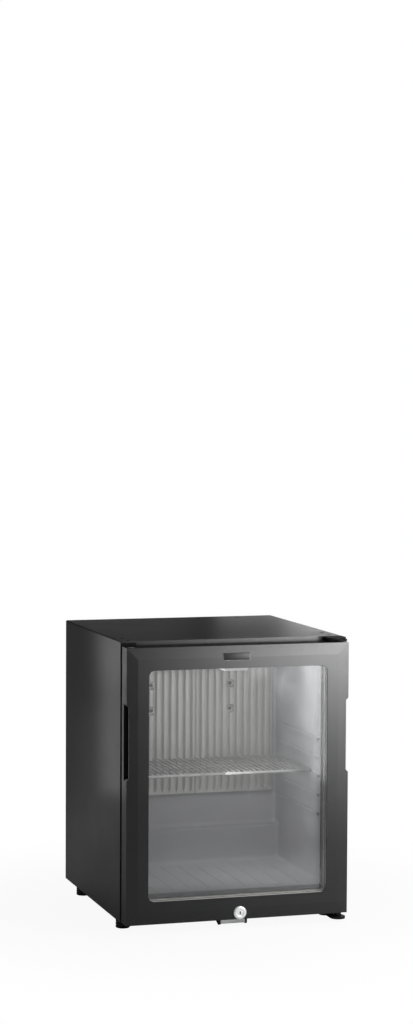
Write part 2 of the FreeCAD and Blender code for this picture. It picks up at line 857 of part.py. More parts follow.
def make_liner():
    """The formed plastic liner with flange, shelf ledges, rear step and floor grooves."""
    wall = s.liner_wall
    body = liner_block("liner_tub", wall)
    flange = new_sketch(body, "XZ_Plane", -cabinet_front)
    rectangle(flange, (-half_mouth, half_mouth), (flange_low, mouth_top))
    pad(body, flange, s.sheet_steel, reverse=True)
    room = l_profile(body, as_size(0), cabinet_front - s.cut_overrun)
    room_cut = pocket(body, room, 2 * half_cavity, both_ways=True)
    corners = round_edges(body, room_cut, s.cavity_round, inside_corner)
    round_edges(body, corners, s.step_round, step_nose)
    ledges = new_sketch(body, "YZ_Plane", half_cavity - s.ledge_proud)
    front = cabinet_front + s.ledge_front
    back = cavity_back - s.ledge_rear_gap
    for number in range(-LEDGES_EACH_WAY, LEDGES_EACH_WAY + 1):
        top = s.shelf_level + number * s.ledge_spacing
        round_rectangle(ledges, (front, back), (top - s.ledge_height, top), s.ledge_round)
    raised = pad(body, ledges, s.ledge_proud + wall / 2)
    mirror(body, [raised], "YZ_Plane")
    grooves = new_sketch(body, "XY_Plane", s.cavity_floor)
    groove_front = cabinet_front + s.floor_groove_front
    each_way = how_many(half_cavity - s.floor_groove_margin, s.floor_groove_spacing) - 1
    for number in range(-each_way, each_way + 1):
        middle = number * s.floor_groove_spacing
        rectangle(grooves, (middle - s.floor_groove_width / 2, middle + s.floor_groove_width / 2),
                  (groove_front, step_front - s.floor_groove_rear_gap))
    pocket(body, grooves, s.floor_groove_deep)
    return keep(cut("inner_liner", body, [group("liner_screw_holes", cold_screws("liner_hole"))]))


def make_foam(hinge_leaf, leaf_screws):
    """The foamed insulation that fills the space between the shell and the liner."""
    full = block("foam_full", (-half_inside, half_inside), (skin_back, foam_back),
                 (s.foot_height + s.sheet_steel, top_inside))
    tools = [liner_block("foam_room", s.liner_wall), hinge_leaf, plug_window("foam_window", liner_back)]
    tools += screw_set("foam_screw_holes")
    tools += [foot_spigot_hole(f"foam_hole_{word}", side, s.foot_front_depth)
              for side, word in ((LEFT, "left"), (RIGHT, "right"))]
    return keep(cut("foam_insulation", full, tools))


block_low = evaporator_low - s.evaporator_radius - s.cold_block_margin
block_high = cold_screw_high + s.cold_block_margin


def plug_window(name, front):
    """The opening in the back through which the cooling unit is fitted."""
    return block(name, (-plug_half, plug_half), (front, plate_back),
                 (block_low - s.plug_margin, block_high + s.plug_margin))


def cold_screws(name):
    """The four screws that hold the cold plate to the block behind it."""
    screws = []
    start = cavity_back - s.plate_back_gap - s.plate_sheet
    length = s.plate_sheet + s.plate_back_gap + s.liner_wall + s.cold_screw_depth
    for side in (LEFT, RIGHT):
        for level in (cold_screw_low, cold_screw_high):
            number = len(screws)
            across = side * cold_screw_x
            shank = rod(f"{name}_shank_{number}", s.screw_radius, across, start, level, length, "y")
            head = rod(f"{name}_head_{number}", s.screw_head_radius, across, start - s.screw_head_height,
                       level, s.screw_head_height, "y")
            screws.append(fuse(f"{name}_{number}", [shank, head]))
    return screws


plate_rear = cavity_back - s.plate_back_gap
plate_front = plate_rear - s.plate_sheet
rib_front = plate_front - s.rib_proud
plate_high = cavity_top - s.plate_top_gap
half_plate = half_cavity - s.plate_side_gap
half_gap = (s.rib_spacing - s.rib_width) / 2
half_open = (s.rib_spacing - s.rib_crest) / 2


def trapezoid(body, level, middle, base, half_base, end, half_end):
    """A slanting-sided outline seen from above, from its base to its end."""
    sketch = new_sketch(body, "XY_Plane", level)
    outline(sketch, [
        (middle - half_base, base), (middle + half_base, base),
        (middle + half_end, end), (middle - half_end, end),
    ])
    return sketch


def groove_outline(body, level, middle, half_floor, half_top):
    """The space between two ribs seen from above, run on past the ribs' crests."""
    over_share = 0.5
    return trapezoid(body, level, middle, plate_front, half_floor, rib_front - over_share * s.rib_proud,
                     half_top + over_share * (half_top - half_floor))


def plate_grooves(body, side):
    """The grooves on one side of the double rib, each closing to a point above the plate's hem."""
    foot = plate_low + s.plate_hem
    foot_top = foot + s.rib_run_out
    first = s.seam_shift + side * (s.seam_width / 2 + half_gap)
    count = how_many(half_plate - side * first - half_open, s.rib_spacing)
    run = pocket(body, groove_outline(body, foot_top, first, half_gap, half_open), plate_high - foot_top,
                 reverse=True)
    ends = [groove_outline(body, foot_top, first, half_gap, half_open),
            groove_outline(body, foot, first, s.groove_point / 2, s.groove_point)]
    features = [run, loft("SubtractiveLoft", body, ends)]
    row_of(body, features, "X_Axis", (count - 1) * s.rib_spacing, count, side == LEFT)
    rib = trapezoid(body, plate_low, first + side * s.rib_spacing / 2, plate_rear,
                    s.rib_width / 2 - s.plate_sheet, rib_front + s.plate_sheet, (s.rib_crest - s.plate_sheet) / 2)
    hollow = pocket(body, rib, plate_high - plate_low, reverse=True)
    row_of(body, [hollow], "X_Axis", (count - 2) * s.rib_spacing, count - 1, side == LEFT)


def make_cold_plate():
    """The pressed cold plate: hollow upright ribs on both sides of a narrow double rib."""
    body = new_body("cold_plate_pressing")
    sheet = new_sketch(body, "XY_Plane", plate_low)
    rectangle(sheet, (-half_plate, half_plate), (rib_front, plate_rear))
    pad(body, sheet, plate_high - plate_low)
    plate_grooves(body, LEFT)
    plate_grooves(body, RIGHT)
    seam = trapezoid(body, plate_low, s.seam_shift, rib_front + s.rib_proud / 2, s.groove_point / 2,
                     rib_front, s.seam_groove / 2)
    pocket(body, seam, plate_high - plate_low, reverse=True)
    return keep(cut("cold_plate", body, [group("plate_screw_holes", cold_screws("plate_hole"))]))


def make_cold_block():
    """The aluminium block on the cold tube, the tube itself and the insulation plug round them."""
    deep = liner_back + s.cold_block_thickness / 2
    enter = plug_half - s.plug_margin - s.tube_radius
    turn = cold_screw_x + s.plug_margin
    cold_tube = tube("evaporator_tube", s.evaporator_radius, [
        (-enter, plate_back, evaporator_high), (-enter, deep, evaporator_high),
        (turn, deep, evaporator_high), (turn, deep, evaporator_low),
        (exchanger_x, deep, evaporator_low), (exchanger_x, plate_back, evaporator_low),
    ], s.evaporator_spacing / 2)
    across = (-cold_block_half, cold_block_half)
    block_back = liner_back + s.cold_block_thickness
    bar = block("cold_block_bar", across, (liner_back, block_back), (block_low, block_high))
    solid = cut("cold_block", bar, [cold_tube] + cold_screws("block_hole"))
    room = block("plug_block_room", across, (liner_back - s.cut_overrun, block_back), (block_low, block_high))
    plug = cut("insulation_plug", plug_window("plug_foam", liner_back), [room, cold_tube])
    keep(group("cold_plate_screws", cold_screws("cold_screw")), solid, cold_tube, plug)


def make_back():
    """The steel back of the insulation, open where the cooling unit goes in."""
    sheet = block("back_sheet", (-half_inside, half_inside), (foam_back, plate_back),
                  (s.foot_height + s.sheet_steel, top_inside))
    return keep(cut("back_plate", sheet, [plug_window("back_window", liner_back)]))


def make_lamp():
    """The lamp under the ceiling: a housing, a board and a lens."""
    across = (s.lamp_shift - s.lamp_width / 2, s.lamp_shift + s.lamp_width / 2)
    deep = (s.lamp_front, s.lamp_front + s.lamp_length)
    low = cavity_top - s.lamp_height
    outer = block("lamp_outer", across, deep, (low, cavity_top))
    wall = s.lamp_wall
    inside = block("lamp_inside", (across[0] + wall, across[1] - wall), (deep[0] + wall, deep[1] - wall),
                   (low - s.cut_overrun, cavity_top - wall))
    lens = block("lamp_lens", (across[0] + wall, across[1] - wall), (deep[0] + wall, deep[1] - wall),
                 (low, low + s.lamp_lens))
    board = block("lamp_board", (across[0] + wall, across[1] - wall), (deep[0] + wall, deep[1] - wall),
                  (cavity_top - wall - s.lamp_board, cavity_top - wall))
    keep(cut("lamp_housing", outer, [inside]), lens, board)


def make_shelf():
    """The wire shelf: three cross bars and the wires welded on them."""
    half = half_cavity - s.shelf_side_gap
    level = s.shelf_level + s.moving_gap + s.bar_radius
    back = cavity_back - s.shelf_rear_gap
    rows = ((s.shelf_front, "front"), ((s.shelf_front + back) / 2, "middle"), (back, "back"))
    bars = [rod(f"shelf_bar_{word}", s.bar_radius, -half, deep, level, 2 * half, "x") for deep, word in rows]
    wire_level = level + s.bar_radius + s.wire_radius - s.wire_sink
    start = s.shelf_front - s.wire_margin
    length = back + s.wire_margin - start
    each_way = how_many(half - s.wire_margin, s.wire_spacing) - 1
    for number in range(-each_way, each_way + 1):
        name = f"shelf_wire_{number + each_way}"
        bars.append(rod(name, s.wire_radius, number * s.wire_spacing, start, wire_level, length, "y"))
    return keep(fuse("wire_shelf", bars))


def make_door_frame():
    """The moulded door frame: a crowned ring with a glass rebate and a finger recess in each side."""
    body = new_body("frame_moulding")
    full = new_sketch(body, "XZ_Plane", -s.crown_depth)
    rectangle(full, (-half_door, half_door), (s.door_bottom, door_top))
    pad(body, full, s.door_thickness - s.crown_depth, reverse=True)
    wide = new_sketch(body, "XZ_Plane", -s.crown_depth)
    rectangle(wide, (-half_door, half_door), (s.door_bottom, door_top))
    face = new_sketch(body, "XZ_Plane")
    inset = s.crown_width
    rectangle(face, (inset - half_door, half_door - inset), (s.door_bottom + inset, door_top - inset))
    loft("AdditiveLoft", body, [wide, face])
    window = new_sketch(body, "XZ_Plane", s.cut_overrun)
    round_rectangle(window, (-half_window, half_window), (window_low, window_high), s.window_radius)
    pocket(body, window, s.door_thickness + 2 * s.cut_overrun)
    rebate = new_sketch(body, "XZ_Plane", -s.frame_lip)
    half = half_window + s.glass_overlap
    rectangle(rebate, (-half, half), (window_low - s.glass_overlap, window_high + s.glass_overlap))
    pocket(body, rebate, s.door_thickness)
    low = door_top - s.grip_drop - s.grip_height / 2
    high = low + s.grip_height
    notch = new_sketch(body, "XZ_Plane", s.cut_overrun)
    cup = new_sketch(body, "XZ_Plane", -s.grip_lip)
    for side in (LEFT, RIGHT):
        inner = side * (half_door - s.grip_notch)
        outer = side * (half_door + s.grip_notch)
        outline(notch, [(inner, low + s.grip_notch), (outer, low - s.grip_notch),
                        (outer, high + s.grip_notch), (inner, high - s.grip_notch)])
        deep = side * (half_door - s.grip_pocket)
        ends = (deep, outer) if side == RIGHT else (outer, deep)
        rectangle(cup, ends, (low + s.grip_notch, high - s.grip_notch))
    pocket(body, notch, s.cut_overrun + s.grip_rear)
    pocket(body, cup, s.grip_rear - s.grip_lip)
    tools = [rod("frame_lock_bore", s.barrel_radius, s.lock_shift, -s.cut_overrun, lock_level,
                 s.door_thickness + 2 * s.cut_overrun, "y")]
    for side, word in ((LEFT, "left"), (RIGHT, "right")):
        tools.append(rod(f"frame_top_bore_{word}", s.bush_radius, side * hinge_x, s.hinge_depth,
                         door_top - s.bush_length, s.bush_length + s.cut_overrun))
        tools.append(rod(f"frame_foot_bore_{word}", s.bush_radius, side * hinge_x, s.hinge_depth,
                         s.door_bottom - s.cut_overrun, s.bush_length + s.cut_overrun))
    middle = -s.badge_shift
    badge_top = door_top - s.badge_drop
    tools.append(block("badge_seat", (middle - s.badge_width / 2, middle + s.badge_width / 2),
                       (-s.cut_overrun, s.badge_seat), (badge_top - s.badge_height, badge_top)))
    keep(cut("door_frame", body, tools))
    badge = block("badge_plate", (middle - s.badge_width / 2, middle + s.badge_width / 2),
                  (s.badge_seat - s.badge_thickness, s.badge_seat), (badge_top - s.badge_height, badge_top))
    keep(badge)


def make_bushes():
    """The hinge bushes on the right and the plugs in the spare bores on the left."""
    bore = s.pin_radius + s.pin_clearance
    top_low = door_top - s.bush_length
    top = rod("top_bush_body", s.bush_radius, hinge_x, s.hinge_depth, top_low, s.bush_length)
    top_bore = rod("top_bush_bore", bore, hinge_x, s.hinge_depth, door_top - s.pin_reach - s.moving_gap,
                   s.bush_length)
    keep(cut("top_hinge_bush", top, [top_bore]))
    body = rod("foot_bush_body", s.bush_radius, hinge_x, s.hinge_depth, s.door_bottom, s.bush_length)
    flange_bottom = s.door_bottom - s.bush_flange
    flange = rod("foot_bush_flange", s.bush_flange_radius, hinge_x, s.hinge_depth, flange_bottom, s.bush_flange)
    bore_low = flange_bottom - s.cut_overrun
    keep(cut("bottom_hinge_bush", fuse("foot_bush", [body, flange]),
             [rod("foot_bush_bore", bore, hinge_x, s.hinge_depth, bore_low,
                  s.bush_flange + s.cut_overrun + s.pin_reach + s.moving_gap)]))
    plugs = []
    for level, word in ((top_low, "top"), (s.door_bottom, "foot")):
        plugs.append(rod(f"spare_plug_{word}", s.bush_radius, -hinge_x, s.hinge_depth, level, s.bush_length))
    keep(group("spare_hinge_plugs", plugs))


def make_glazing():
    """Three panes and the two spacer frames between them."""
    half = half_window + s.glass_overlap
    low = window_low - s.glass_overlap
    high = window_high + s.glass_overlap
    deep = s.frame_lip
    layers = [("front_glass", s.outer_pane), ("front_spacer", spacer_depth), ("middle_glass", s.middle_pane),
              ("rear_spacer", spacer_depth), ("rear_glass", s.outer_pane)]
    for name, thickness in layers:
        back = deep + thickness
        if name.endswith("glass"):
            keep(block(name, (-half, half), (deep, back), (low, high)))
        else:
            ring = block(name + "_outer", (-half, half), (deep, back), (low, high))
            hole = block(name + "_inner", (-half_window, half_window),
                         (deep - s.cut_overrun, back + s.cut_overrun), (window_low, window_high))
            keep(cut(name, ring, [hole]))
        deep = back


def make_retainer_and_gasket():
    """The rear ring that holds the glazing, and the seal on it."""
    half = half_door - s.retainer_side
    low = s.door_bottom + s.retainer_foot
    high = door_top - s.retainer_top
    back = s.door_thickness + s.retainer_thickness
    ring = block("retainer_outer", (-half, half), (s.door_thickness, back), (low, high))
    body = new_body("retainer_opening")
    sketch = new_sketch(body, "XZ_Plane", 0)
    round_rectangle(sketch, (-half_window, half_window), (window_low, window_high), s.window_radius)
    pad(body, sketch, cabinet_back, reverse=True)
    keep(cut("glass_retainer", ring, [body]))
    inset = s.gasket_inset
    seal = new_body("door_gasket")
    foot = new_sketch(seal, "XZ_Plane", -back)
    rectangle(foot, (inset - half, half - inset), (low + inset, high - inset))
    inner = inset + s.gasket_width
    rectangle(foot, (inner - half, half - inner), (low + inner, high - inner))
    height = s.door_gap - s.retainer_thickness - s.moving_gap
    pad(seal, foot, height / 2, reverse=True)
    lip = new_sketch(seal, "XZ_Plane", -(back + height / 2))
    edge = inset + (s.gasket_width - s.gasket_lip) / 2
    rectangle(lip, (edge - half, half - edge), (low + edge, high - edge))
    inner_edge = edge + s.gasket_lip
    rectangle(lip, (inner_edge - half, half - inner_edge), (low + inner_edge, high - inner_edge))
    pad(seal, lip, height / 2, reverse=True)
    keep(seal)


def make_lock():
    """The cam lock in the bottom rail: housing, nut, plug with keyhole, cam and its screw."""
    x = s.lock_shift
    rosette = new_body("lock_rosette", x, 0, lock_level, "y")
    disc = new_sketch(rosette, "XZ_Plane")
    outline(disc, [(0, 0), (0, -s.lock_projection), (s.lock_radius, -s.lock_projection), (s.lock_radius, 0)])
    rim = revolve(rosette, disc)
    round_edges(rosette, rim, s.lock_dome, lambda edge: edge.BoundBox.ZMax < -s.lock_dome.number)
    barrel = rod("lock_barrel", s.barrel_radius, x, 0, lock_level, s.door_thickness + s.nut_thickness, "y")
    turned = fuse("lock_turned", [rosette, barrel])
    bore = s.plug_radius + s.pin_clearance
    front = -s.lock_projection - s.cut_overrun
    length = s.door_thickness + s.nut_thickness + s.cut_overrun - front
    keep(cut("lock_housing", turned, [rod("lock_bore", bore, x, front, lock_level, length, "y")]))
    nut = doc.addObject("Part::Prism", "nut_hex")
    nut.Polygon = HEX_SIDES
    bind(nut, "Circumradius", s.nut_radius)
    bind(nut, "Height", s.nut_thickness)
    place(nut, x, s.door_thickness, lock_level, "y")
    keep(cut("lock_nut", nut, [rod("nut_bore", s.barrel_radius, x, 0, lock_level, cabinet_front, "y")]))
    cam_front = s.door_thickness + s.nut_thickness + s.cam_gap
    plug_length = s.lock_projection + cam_front
    plug = rod("plug_round", s.plug_radius, x, -s.lock_projection, lock_level, plug_length, "y")
    half_square = s.cam_square / 2
    tail = block("plug_tail", (x - half_square, x + half_square), (cam_front, cam_front + s.cam_thickness),
                 (lock_level - half_square, lock_level + half_square))
    keyhole = block("keyhole", (x - s.keyhole_width / 2, x + s.keyhole_width / 2),
                    (-s.lock_projection - s.cut_overrun, s.keyhole_deep - s.lock_projection),
                    (lock_level - s.keyhole_height / 2, lock_level + s.keyhole_height / 2))
    keep(cut("lock_plug", fuse("plug_blank", [plug, tail]), [keyhole]))
    half_cam = s.cam_width / 2
    bar = block("cam_bar", (x, x + s.cam_reach), (cam_front, cam_front + s.cam_thickness),
                (lock_level - half_cam, lock_level + half_cam))
    eye = rod("cam_eye", half_cam, x, cam_front, lock_level, s.cam_thickness, "y")
    square = block("cam_square_hole", (x - half_square, x + half_square), (0, cabinet_front),
                   (lock_level - half_square, lock_level + half_square))
    keep(cut("lock_cam", fuse("cam_blank", [bar, eye]), [square]))
    cam_back = cam_front + s.cam_thickness
    keep(rod("cam_screw", s.cam_screw_radius, x, cam_back, lock_level, s.cam_screw_head, "y"))


def make_striker():
    """The keeper under the front edge: a plate with two ears, and the bar that the cam drops behind."""
    half = s.striker_half
    plate_low = s.foot_height - s.striker_plate
    plate = block("striker_plate_flat", (-half, half), (cabinet_front + s.door_gap, s.ear_back),
                  (plate_low, s.foot_height))
    ears = []
    for side, word in ((LEFT, "left"), (RIGHT, "right")):
        body = new_body(f"striker_ear_{word}")
        offset = half - s.ear_thickness if side == RIGHT else -half
        sketch = new_sketch(body, "YZ_Plane", offset)
        outline(sketch, [
            (s.ear_front, s.ear_front_low), (s.ear_front + s.keeper_thickness, s.ear_low),
            (s.ear_back, plate_low), (cabinet_front, plate_low), (s.ear_front, s.ear_front_top),
        ])
        pad(body, sketch, s.ear_thickness)
        ears.append(body)
    keep(fuse("striker_bracket", [plate] + ears))
    inside = half - s.ear_thickness
    keep(block("keeper_bar", (-inside, inside), (s.ear_front, s.ear_front + s.keeper_thickness),
               (s.ear_front_low, s.ear_front_low + s.keeper_height)))


fin_count = how_many(fin_first - condenser_corner - s.fin_end_gap, s.fin_spacing)
fin_last = fin_first - (fin_count - 1) * s.fin_spacing


def make_condenser():
    """The finned condenser tube under the top."""
    level, deep = condenser_level, unit_deep
    enter = plug_half - s.plug_margin - s.tube_radius
    pipe = tube("condenser_tube", s.tube_radius, [
        (boiler_x, deep, level - s.condenser_rise), (boiler_x, deep, level), (condenser_corner, deep, level),
        (condenser_corner, deep, evaporator_high), (-enter, deep, evaporator_high),
        (-enter, plate_back, evaporator_high),
    ], s.tube_bend - s.boiler_round)
    half = s.fin_size / 2
    fins = []
    for number in range(fin_count):
        across = fin_first - number * s.fin_spacing
        fins.append(block(f"fin_{number}", (across, across + s.fin_sheet), (deep - half, deep + half),
                          (level - half, level + half)))
    keep(pipe, cut("condenser_fins", group("fin_blanks", fins), [pipe]))


def make_generator():
    """The boiler case with the pump tube through it and the heater beside the tube."""
    x, deep = boiler_x, unit_deep
    pump = tube("pump_tube", s.tube_radius, [
        (vessel_end, deep, s.vessel_level), (x, deep, s.vessel_level),
        (x, deep, condenser_level - s.condenser_rise),
    ], s.tube_bend - s.boiler_round)
    body = new_body("boiler_block")
    sketch = new_sketch(body, "XY_Plane", s.boiler_low)
    round_rectangle(sketch, (x - s.boiler_width / 2, x + s.boiler_width / 2),
                    (deep - s.boiler_length / 2, deep + s.boiler_length / 2), s.boiler_round)
    pad(body, sketch, s.boiler_height)
    heater_low = s.boiler_low - s.heater_show
    heater = rod("heater_cartridge", s.heater_radius, x - s.heater_offset, deep, heater_low, s.heater_length)
    room = rod("heater_room", s.heater_radius, x - s.heater_offset, deep, heater_low, s.heater_length)
    keep(pump, cut("boiler_case", body, [pump, room]), heater)


def make_vessel():
    """The absorber vessel: a drum with necked ends, lying along X."""
    vessel = new_body("absorber_vessel", 0, unit_deep, s.vessel_level)
    sketch = new_sketch(vessel, "XZ_Plane")
    dome, radius = s.vessel_dome, s.vessel_radius
    neck_share = 0.6
    outline(sketch, [
        (vessel_start, 0), (vessel_start, neck_share * radius), (vessel_start + dome, radius),
        (vessel_end - dome, radius), (vessel_end, neck_share * radius), (vessel_end, 0),
    ])
    turned = vessel.newObject("PartDesign::Revolution", "absorber_vessel_turned")
    turned.Profile = sketch
    turned.ReferenceAxis = (sketch, ["H_Axis"])
    turned.Angle = FULL_TURN
    return vessel


def make_absorber():
    """The absorber vessel, the coil above it and the gas heat exchanger that joins them."""
    deep, level = unit_deep, s.vessel_level
    vessel = make_vessel()
    coil_left = vessel_start + s.coil_left_inset
    coil_right = vessel_end - s.coil_right_inset
    last = evaporator_low - s.coil_top_gap
    rise = (last - s.coil_low) / (COIL_PASSES - 1)
    riser = coil_right - s.tube_bend
    route = [(riser, deep, level), (riser, deep, s.coil_low)]
    for number in range(COIL_PASSES - 1):
        high = s.coil_low + number * rise
        across = coil_left if number % 2 == 0 else coil_right
        route += [(across, deep, high), (across, deep, high + rise)]
    route += [(exchanger_x, deep, last), (exchanger_x, exchanger_deep, last)]
    coil_pipe = tube("coil_pipe", s.tube_radius, route, rise / 2 - s.pin_clearance)
    exchanger_pipe = tube("exchanger_pipe", s.exchanger_radius, [
        (exchanger_x, plate_back, evaporator_low), (exchanger_x, exchanger_deep, evaporator_low),
        (exchanger_x, exchanger_deep, level), (exchanger_x, deep, level),
    ], s.exchanger_radius + s.sheet_steel)
    exchanger = cut("gas_heat_exchanger", exchanger_pipe, [vessel])
    keep(vessel, exchanger, cut("absorber_coil", coil_pipe, [vessel, exchanger_pipe]))


def make_unit_brackets():
    """The angle brackets that carry the condenser and the absorber vessel on the back."""
    aside = s.bracket_gap + s.bracket_width / 2
    vessel_middle = (vessel_start + vessel_end) / 2
    supports = [
        ("condenser_left", fin_last - aside, condenser_level - s.tube_radius),
        ("condenser_right", fin_first + s.fin_sheet + aside, condenser_level - s.tube_radius),
        ("vessel_left", vessel_middle - s.vessel_bracket_half, s.vessel_level - s.vessel_radius),
        ("vessel_right", vessel_middle + s.vessel_bracket_half, s.vessel_level - s.vessel_radius),
    ]
    brackets = []
    for word, middle, level in supports:
        across = (middle - s.bracket_width / 2, middle + s.bracket_width / 2)
        arm = block(f"bracket_arm_{word}", across, (plate_back, unit_deep), (level - s.bracket_sheet, level))
        leaf = block(f"bracket_leaf_{word}", across, (plate_back, plate_back + s.bracket_sheet),
                     (level - s.bracket_leaf, level))
        brackets.append(fuse(f"bracket_{word}", [arm, leaf]))
    return keep(group("unit_brackets", brackets))


def make_rails():
    """The angle rails that tie the side panels together at the back."""
    sheet = s.rail_sheet
    low_front = plate_back
    low_back = low_front + s.rail_leaf
    low = s.foot_height
    flat = block("foot_rail_flat", (-half_inside, half_inside), (low_front, low_back), (low, low + sheet))
    upright = block("foot_rail_upright", (-half_inside, half_inside), (low_back - sheet, low_back),
                    (low, low + s.rail_upright))
    holes = [foot_spigot_hole(f"foot_rail_hole_{word}", side, foot_rear)
             for side, word in ((LEFT, "left"), (RIGHT, "right"))]
    keep(cut("rear_foot_rail", fuse("foot_rail", [flat, upright]), holes))
    top_back = cabinet_back - s.sheet_steel
    top_flat = block("top_rail_flat", (-half_inside, half_inside), (top_back - s.rail_leaf, top_back),
                     (top_inside - sheet, top_inside))
    top_upright = block("top_rail_upright", (-half_inside, half_inside), (top_back - sheet, top_back),
                        (top_inside - s.rail_upright, top_inside))
    keep(fuse("rear_top_rail", [top_flat, top_upright]))


def make_rear_screws():
    """The small screws along the top's rear edge."""
    screws = []
    for number in range(REAR_SCREWS):
        across = s.rear_screw_side - half_cabinet + number * s.rear_screw_spacing
        screws.append(rod(f"rear_screw_{number}", s.screw_radius, across, cabinet_back - s.rear_screw_inset,
                          s.cabinet_height, s.sheet_steel / 2))
    return keep(group("top_rear_screws", screws))


def make_control_box():
    """The control box on the back, its cord inlet and the thermostat knob."""
    box_back = plate_back + s.box_length
    body = new_body("box_moulding")
    sketch = new_sketch(body, "XY_Plane", s.box_low)
    round_rectangle(sketch, (box_outer, box_inner), (plate_back, box_back), s.box_round)
    pad(body, sketch, s.box_height)
    middle = (box_outer + box_inner) / 2
    shaft_front = box_back - s.knob_shaft_length
    knob_hole = rod("knob_hole", s.knob_shaft_radius + s.pin_clearance, middle, shaft_front - s.moving_gap,
                    s.knob_level, s.knob_shaft_length + s.cut_overrun, "y")
    inlet_hole = rod("inlet_hole", s.gland_bore, middle, box_back - s.gland_height, s.gland_level,
                     s.gland_height + s.cut_overrun, "y")
    keep(cut("control_box", body, [knob_hole, inlet_hole]))
    ring = cone("gland_ring", s.gland_radius, s.gland_radius - s.gland_taper, middle, box_back, s.gland_level,
                s.gland_height, "y")
    hole = rod("gland_hole", s.gland_bore, middle, box_back - s.cut_overrun, s.gland_level,
               s.gland_height + 2 * s.cut_overrun, "y")
    keep(cut("cord_gland", ring, [hole]))
    knob = cone("knob_round", s.knob_radius, s.knob_radius - s.knob_taper, middle, box_back + s.moving_gap,
                s.knob_level, s.knob_height, "y")
    shaft = rod("knob_shaft", s.knob_shaft_radius, middle, shaft_front, s.knob_level,
                s.knob_shaft_length + s.knob_height / 2, "y")
    grips = []
    for number in range(KNOB_GRIPS):
        turn = number * 2 * math.pi / KNOB_GRIPS
        grips.append(rod(f"knob_grip_{number}", s.knob_grip, middle + math.cos(turn) * s.knob_radius,
                         box_back + s.knob_height / 2, s.knob_level + math.sin(turn) * s.knob_radius,
                         s.knob_height, "y"))
    keep(cut("thermostat_knob", fuse("knob_turned", [knob, shaft]), grips))


def check(thing):
    """Stop if an object failed or isn't a whole solid."""
    bad = [word for word in thing.State if word in ("Invalid", "Error")]
    if bad:
        raise RuntimeError(f"{thing.Name} failed: {thing.State}")


def write_parts():
    """Check every object and write one file for each piece."""
    for thing in doc.Objects:
        check(thing)
    os.makedirs("parts", exist_ok=True)
    for piece in pieces:
        shape = piece.Shape
        if shape.isNull() or not shape.isValid() or not shape.Solids:
            raise RuntimeError(f"{piece.Label} is not a valid solid")
        shape.exportStep(f"parts/{piece.Label}.step")
        print(f"{piece.Label}: {len(shape.Solids)} solids, {shape.Volume / 1000:.2f} cm3")
    print(f"{len(pieces)} nodes")


def main():
    """Build the fridge from the cabinet outwards."""
    make_shell()
    hinge_leaf = make_top_hinge()
    leaf_screws = make_bottom_hinge()
    make_base(leaf_screws)
    make_feet()
    make_liner()
    make_foam(hinge_leaf, leaf_screws)
    make_cold_plate()
    make_cold_block()
    make_back()
    make_lamp()
    make_shelf()
    make_door_frame()
    make_bushes()
    make_glazing()
    make_retainer_and_gasket()
    make_lock()
    make_striker()
    make_condenser()
    make_generator()
    make_absorber()
    make_unit_brackets()
    make_rails()
    make_rear_screws()
    make_control_box()
    doc.recompute()
    write_parts()


main()
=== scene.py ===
import math
import bmesh
import bpy
from mathutils import Matrix, Vector


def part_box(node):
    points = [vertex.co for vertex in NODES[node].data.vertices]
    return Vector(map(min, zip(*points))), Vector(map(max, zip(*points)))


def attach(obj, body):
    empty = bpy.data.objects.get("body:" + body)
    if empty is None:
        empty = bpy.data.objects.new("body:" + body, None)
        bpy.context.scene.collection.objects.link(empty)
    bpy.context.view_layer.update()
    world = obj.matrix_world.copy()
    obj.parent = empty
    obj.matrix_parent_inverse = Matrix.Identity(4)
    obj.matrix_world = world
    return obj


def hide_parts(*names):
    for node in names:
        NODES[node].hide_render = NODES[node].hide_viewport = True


bl_info = {
    "name": "Glass-door minibar",
    "version": (1, 0, 0),
    "blender": (4, 5, 0),
    "location": "3D View > Sidebar > Minibar",
    "description": "Dresses the minibar's frame with finishes and fine pieces",
    "category": "Object",
}

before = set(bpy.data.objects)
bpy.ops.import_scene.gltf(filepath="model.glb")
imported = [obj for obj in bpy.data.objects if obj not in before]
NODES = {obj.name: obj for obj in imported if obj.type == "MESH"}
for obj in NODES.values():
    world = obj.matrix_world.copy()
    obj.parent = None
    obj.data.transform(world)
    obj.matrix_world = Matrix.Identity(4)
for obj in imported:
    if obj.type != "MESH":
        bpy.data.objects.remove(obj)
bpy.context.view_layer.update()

# The cold plate's pattern, in metres: the ribs' spacing, the seam's place across the fridge, and
# the way from the seam to the middle of the first groove beside it
RIB_PITCH = 0.0136
SEAM = 0.008
FIRST_GROOVE = 0.0088

LARGE_HEAD = 0.004  # radius of the larger screw heads
RECESS_SHADE_SLOT = 1          # material slot of a screw's cross recess, which is painted shade
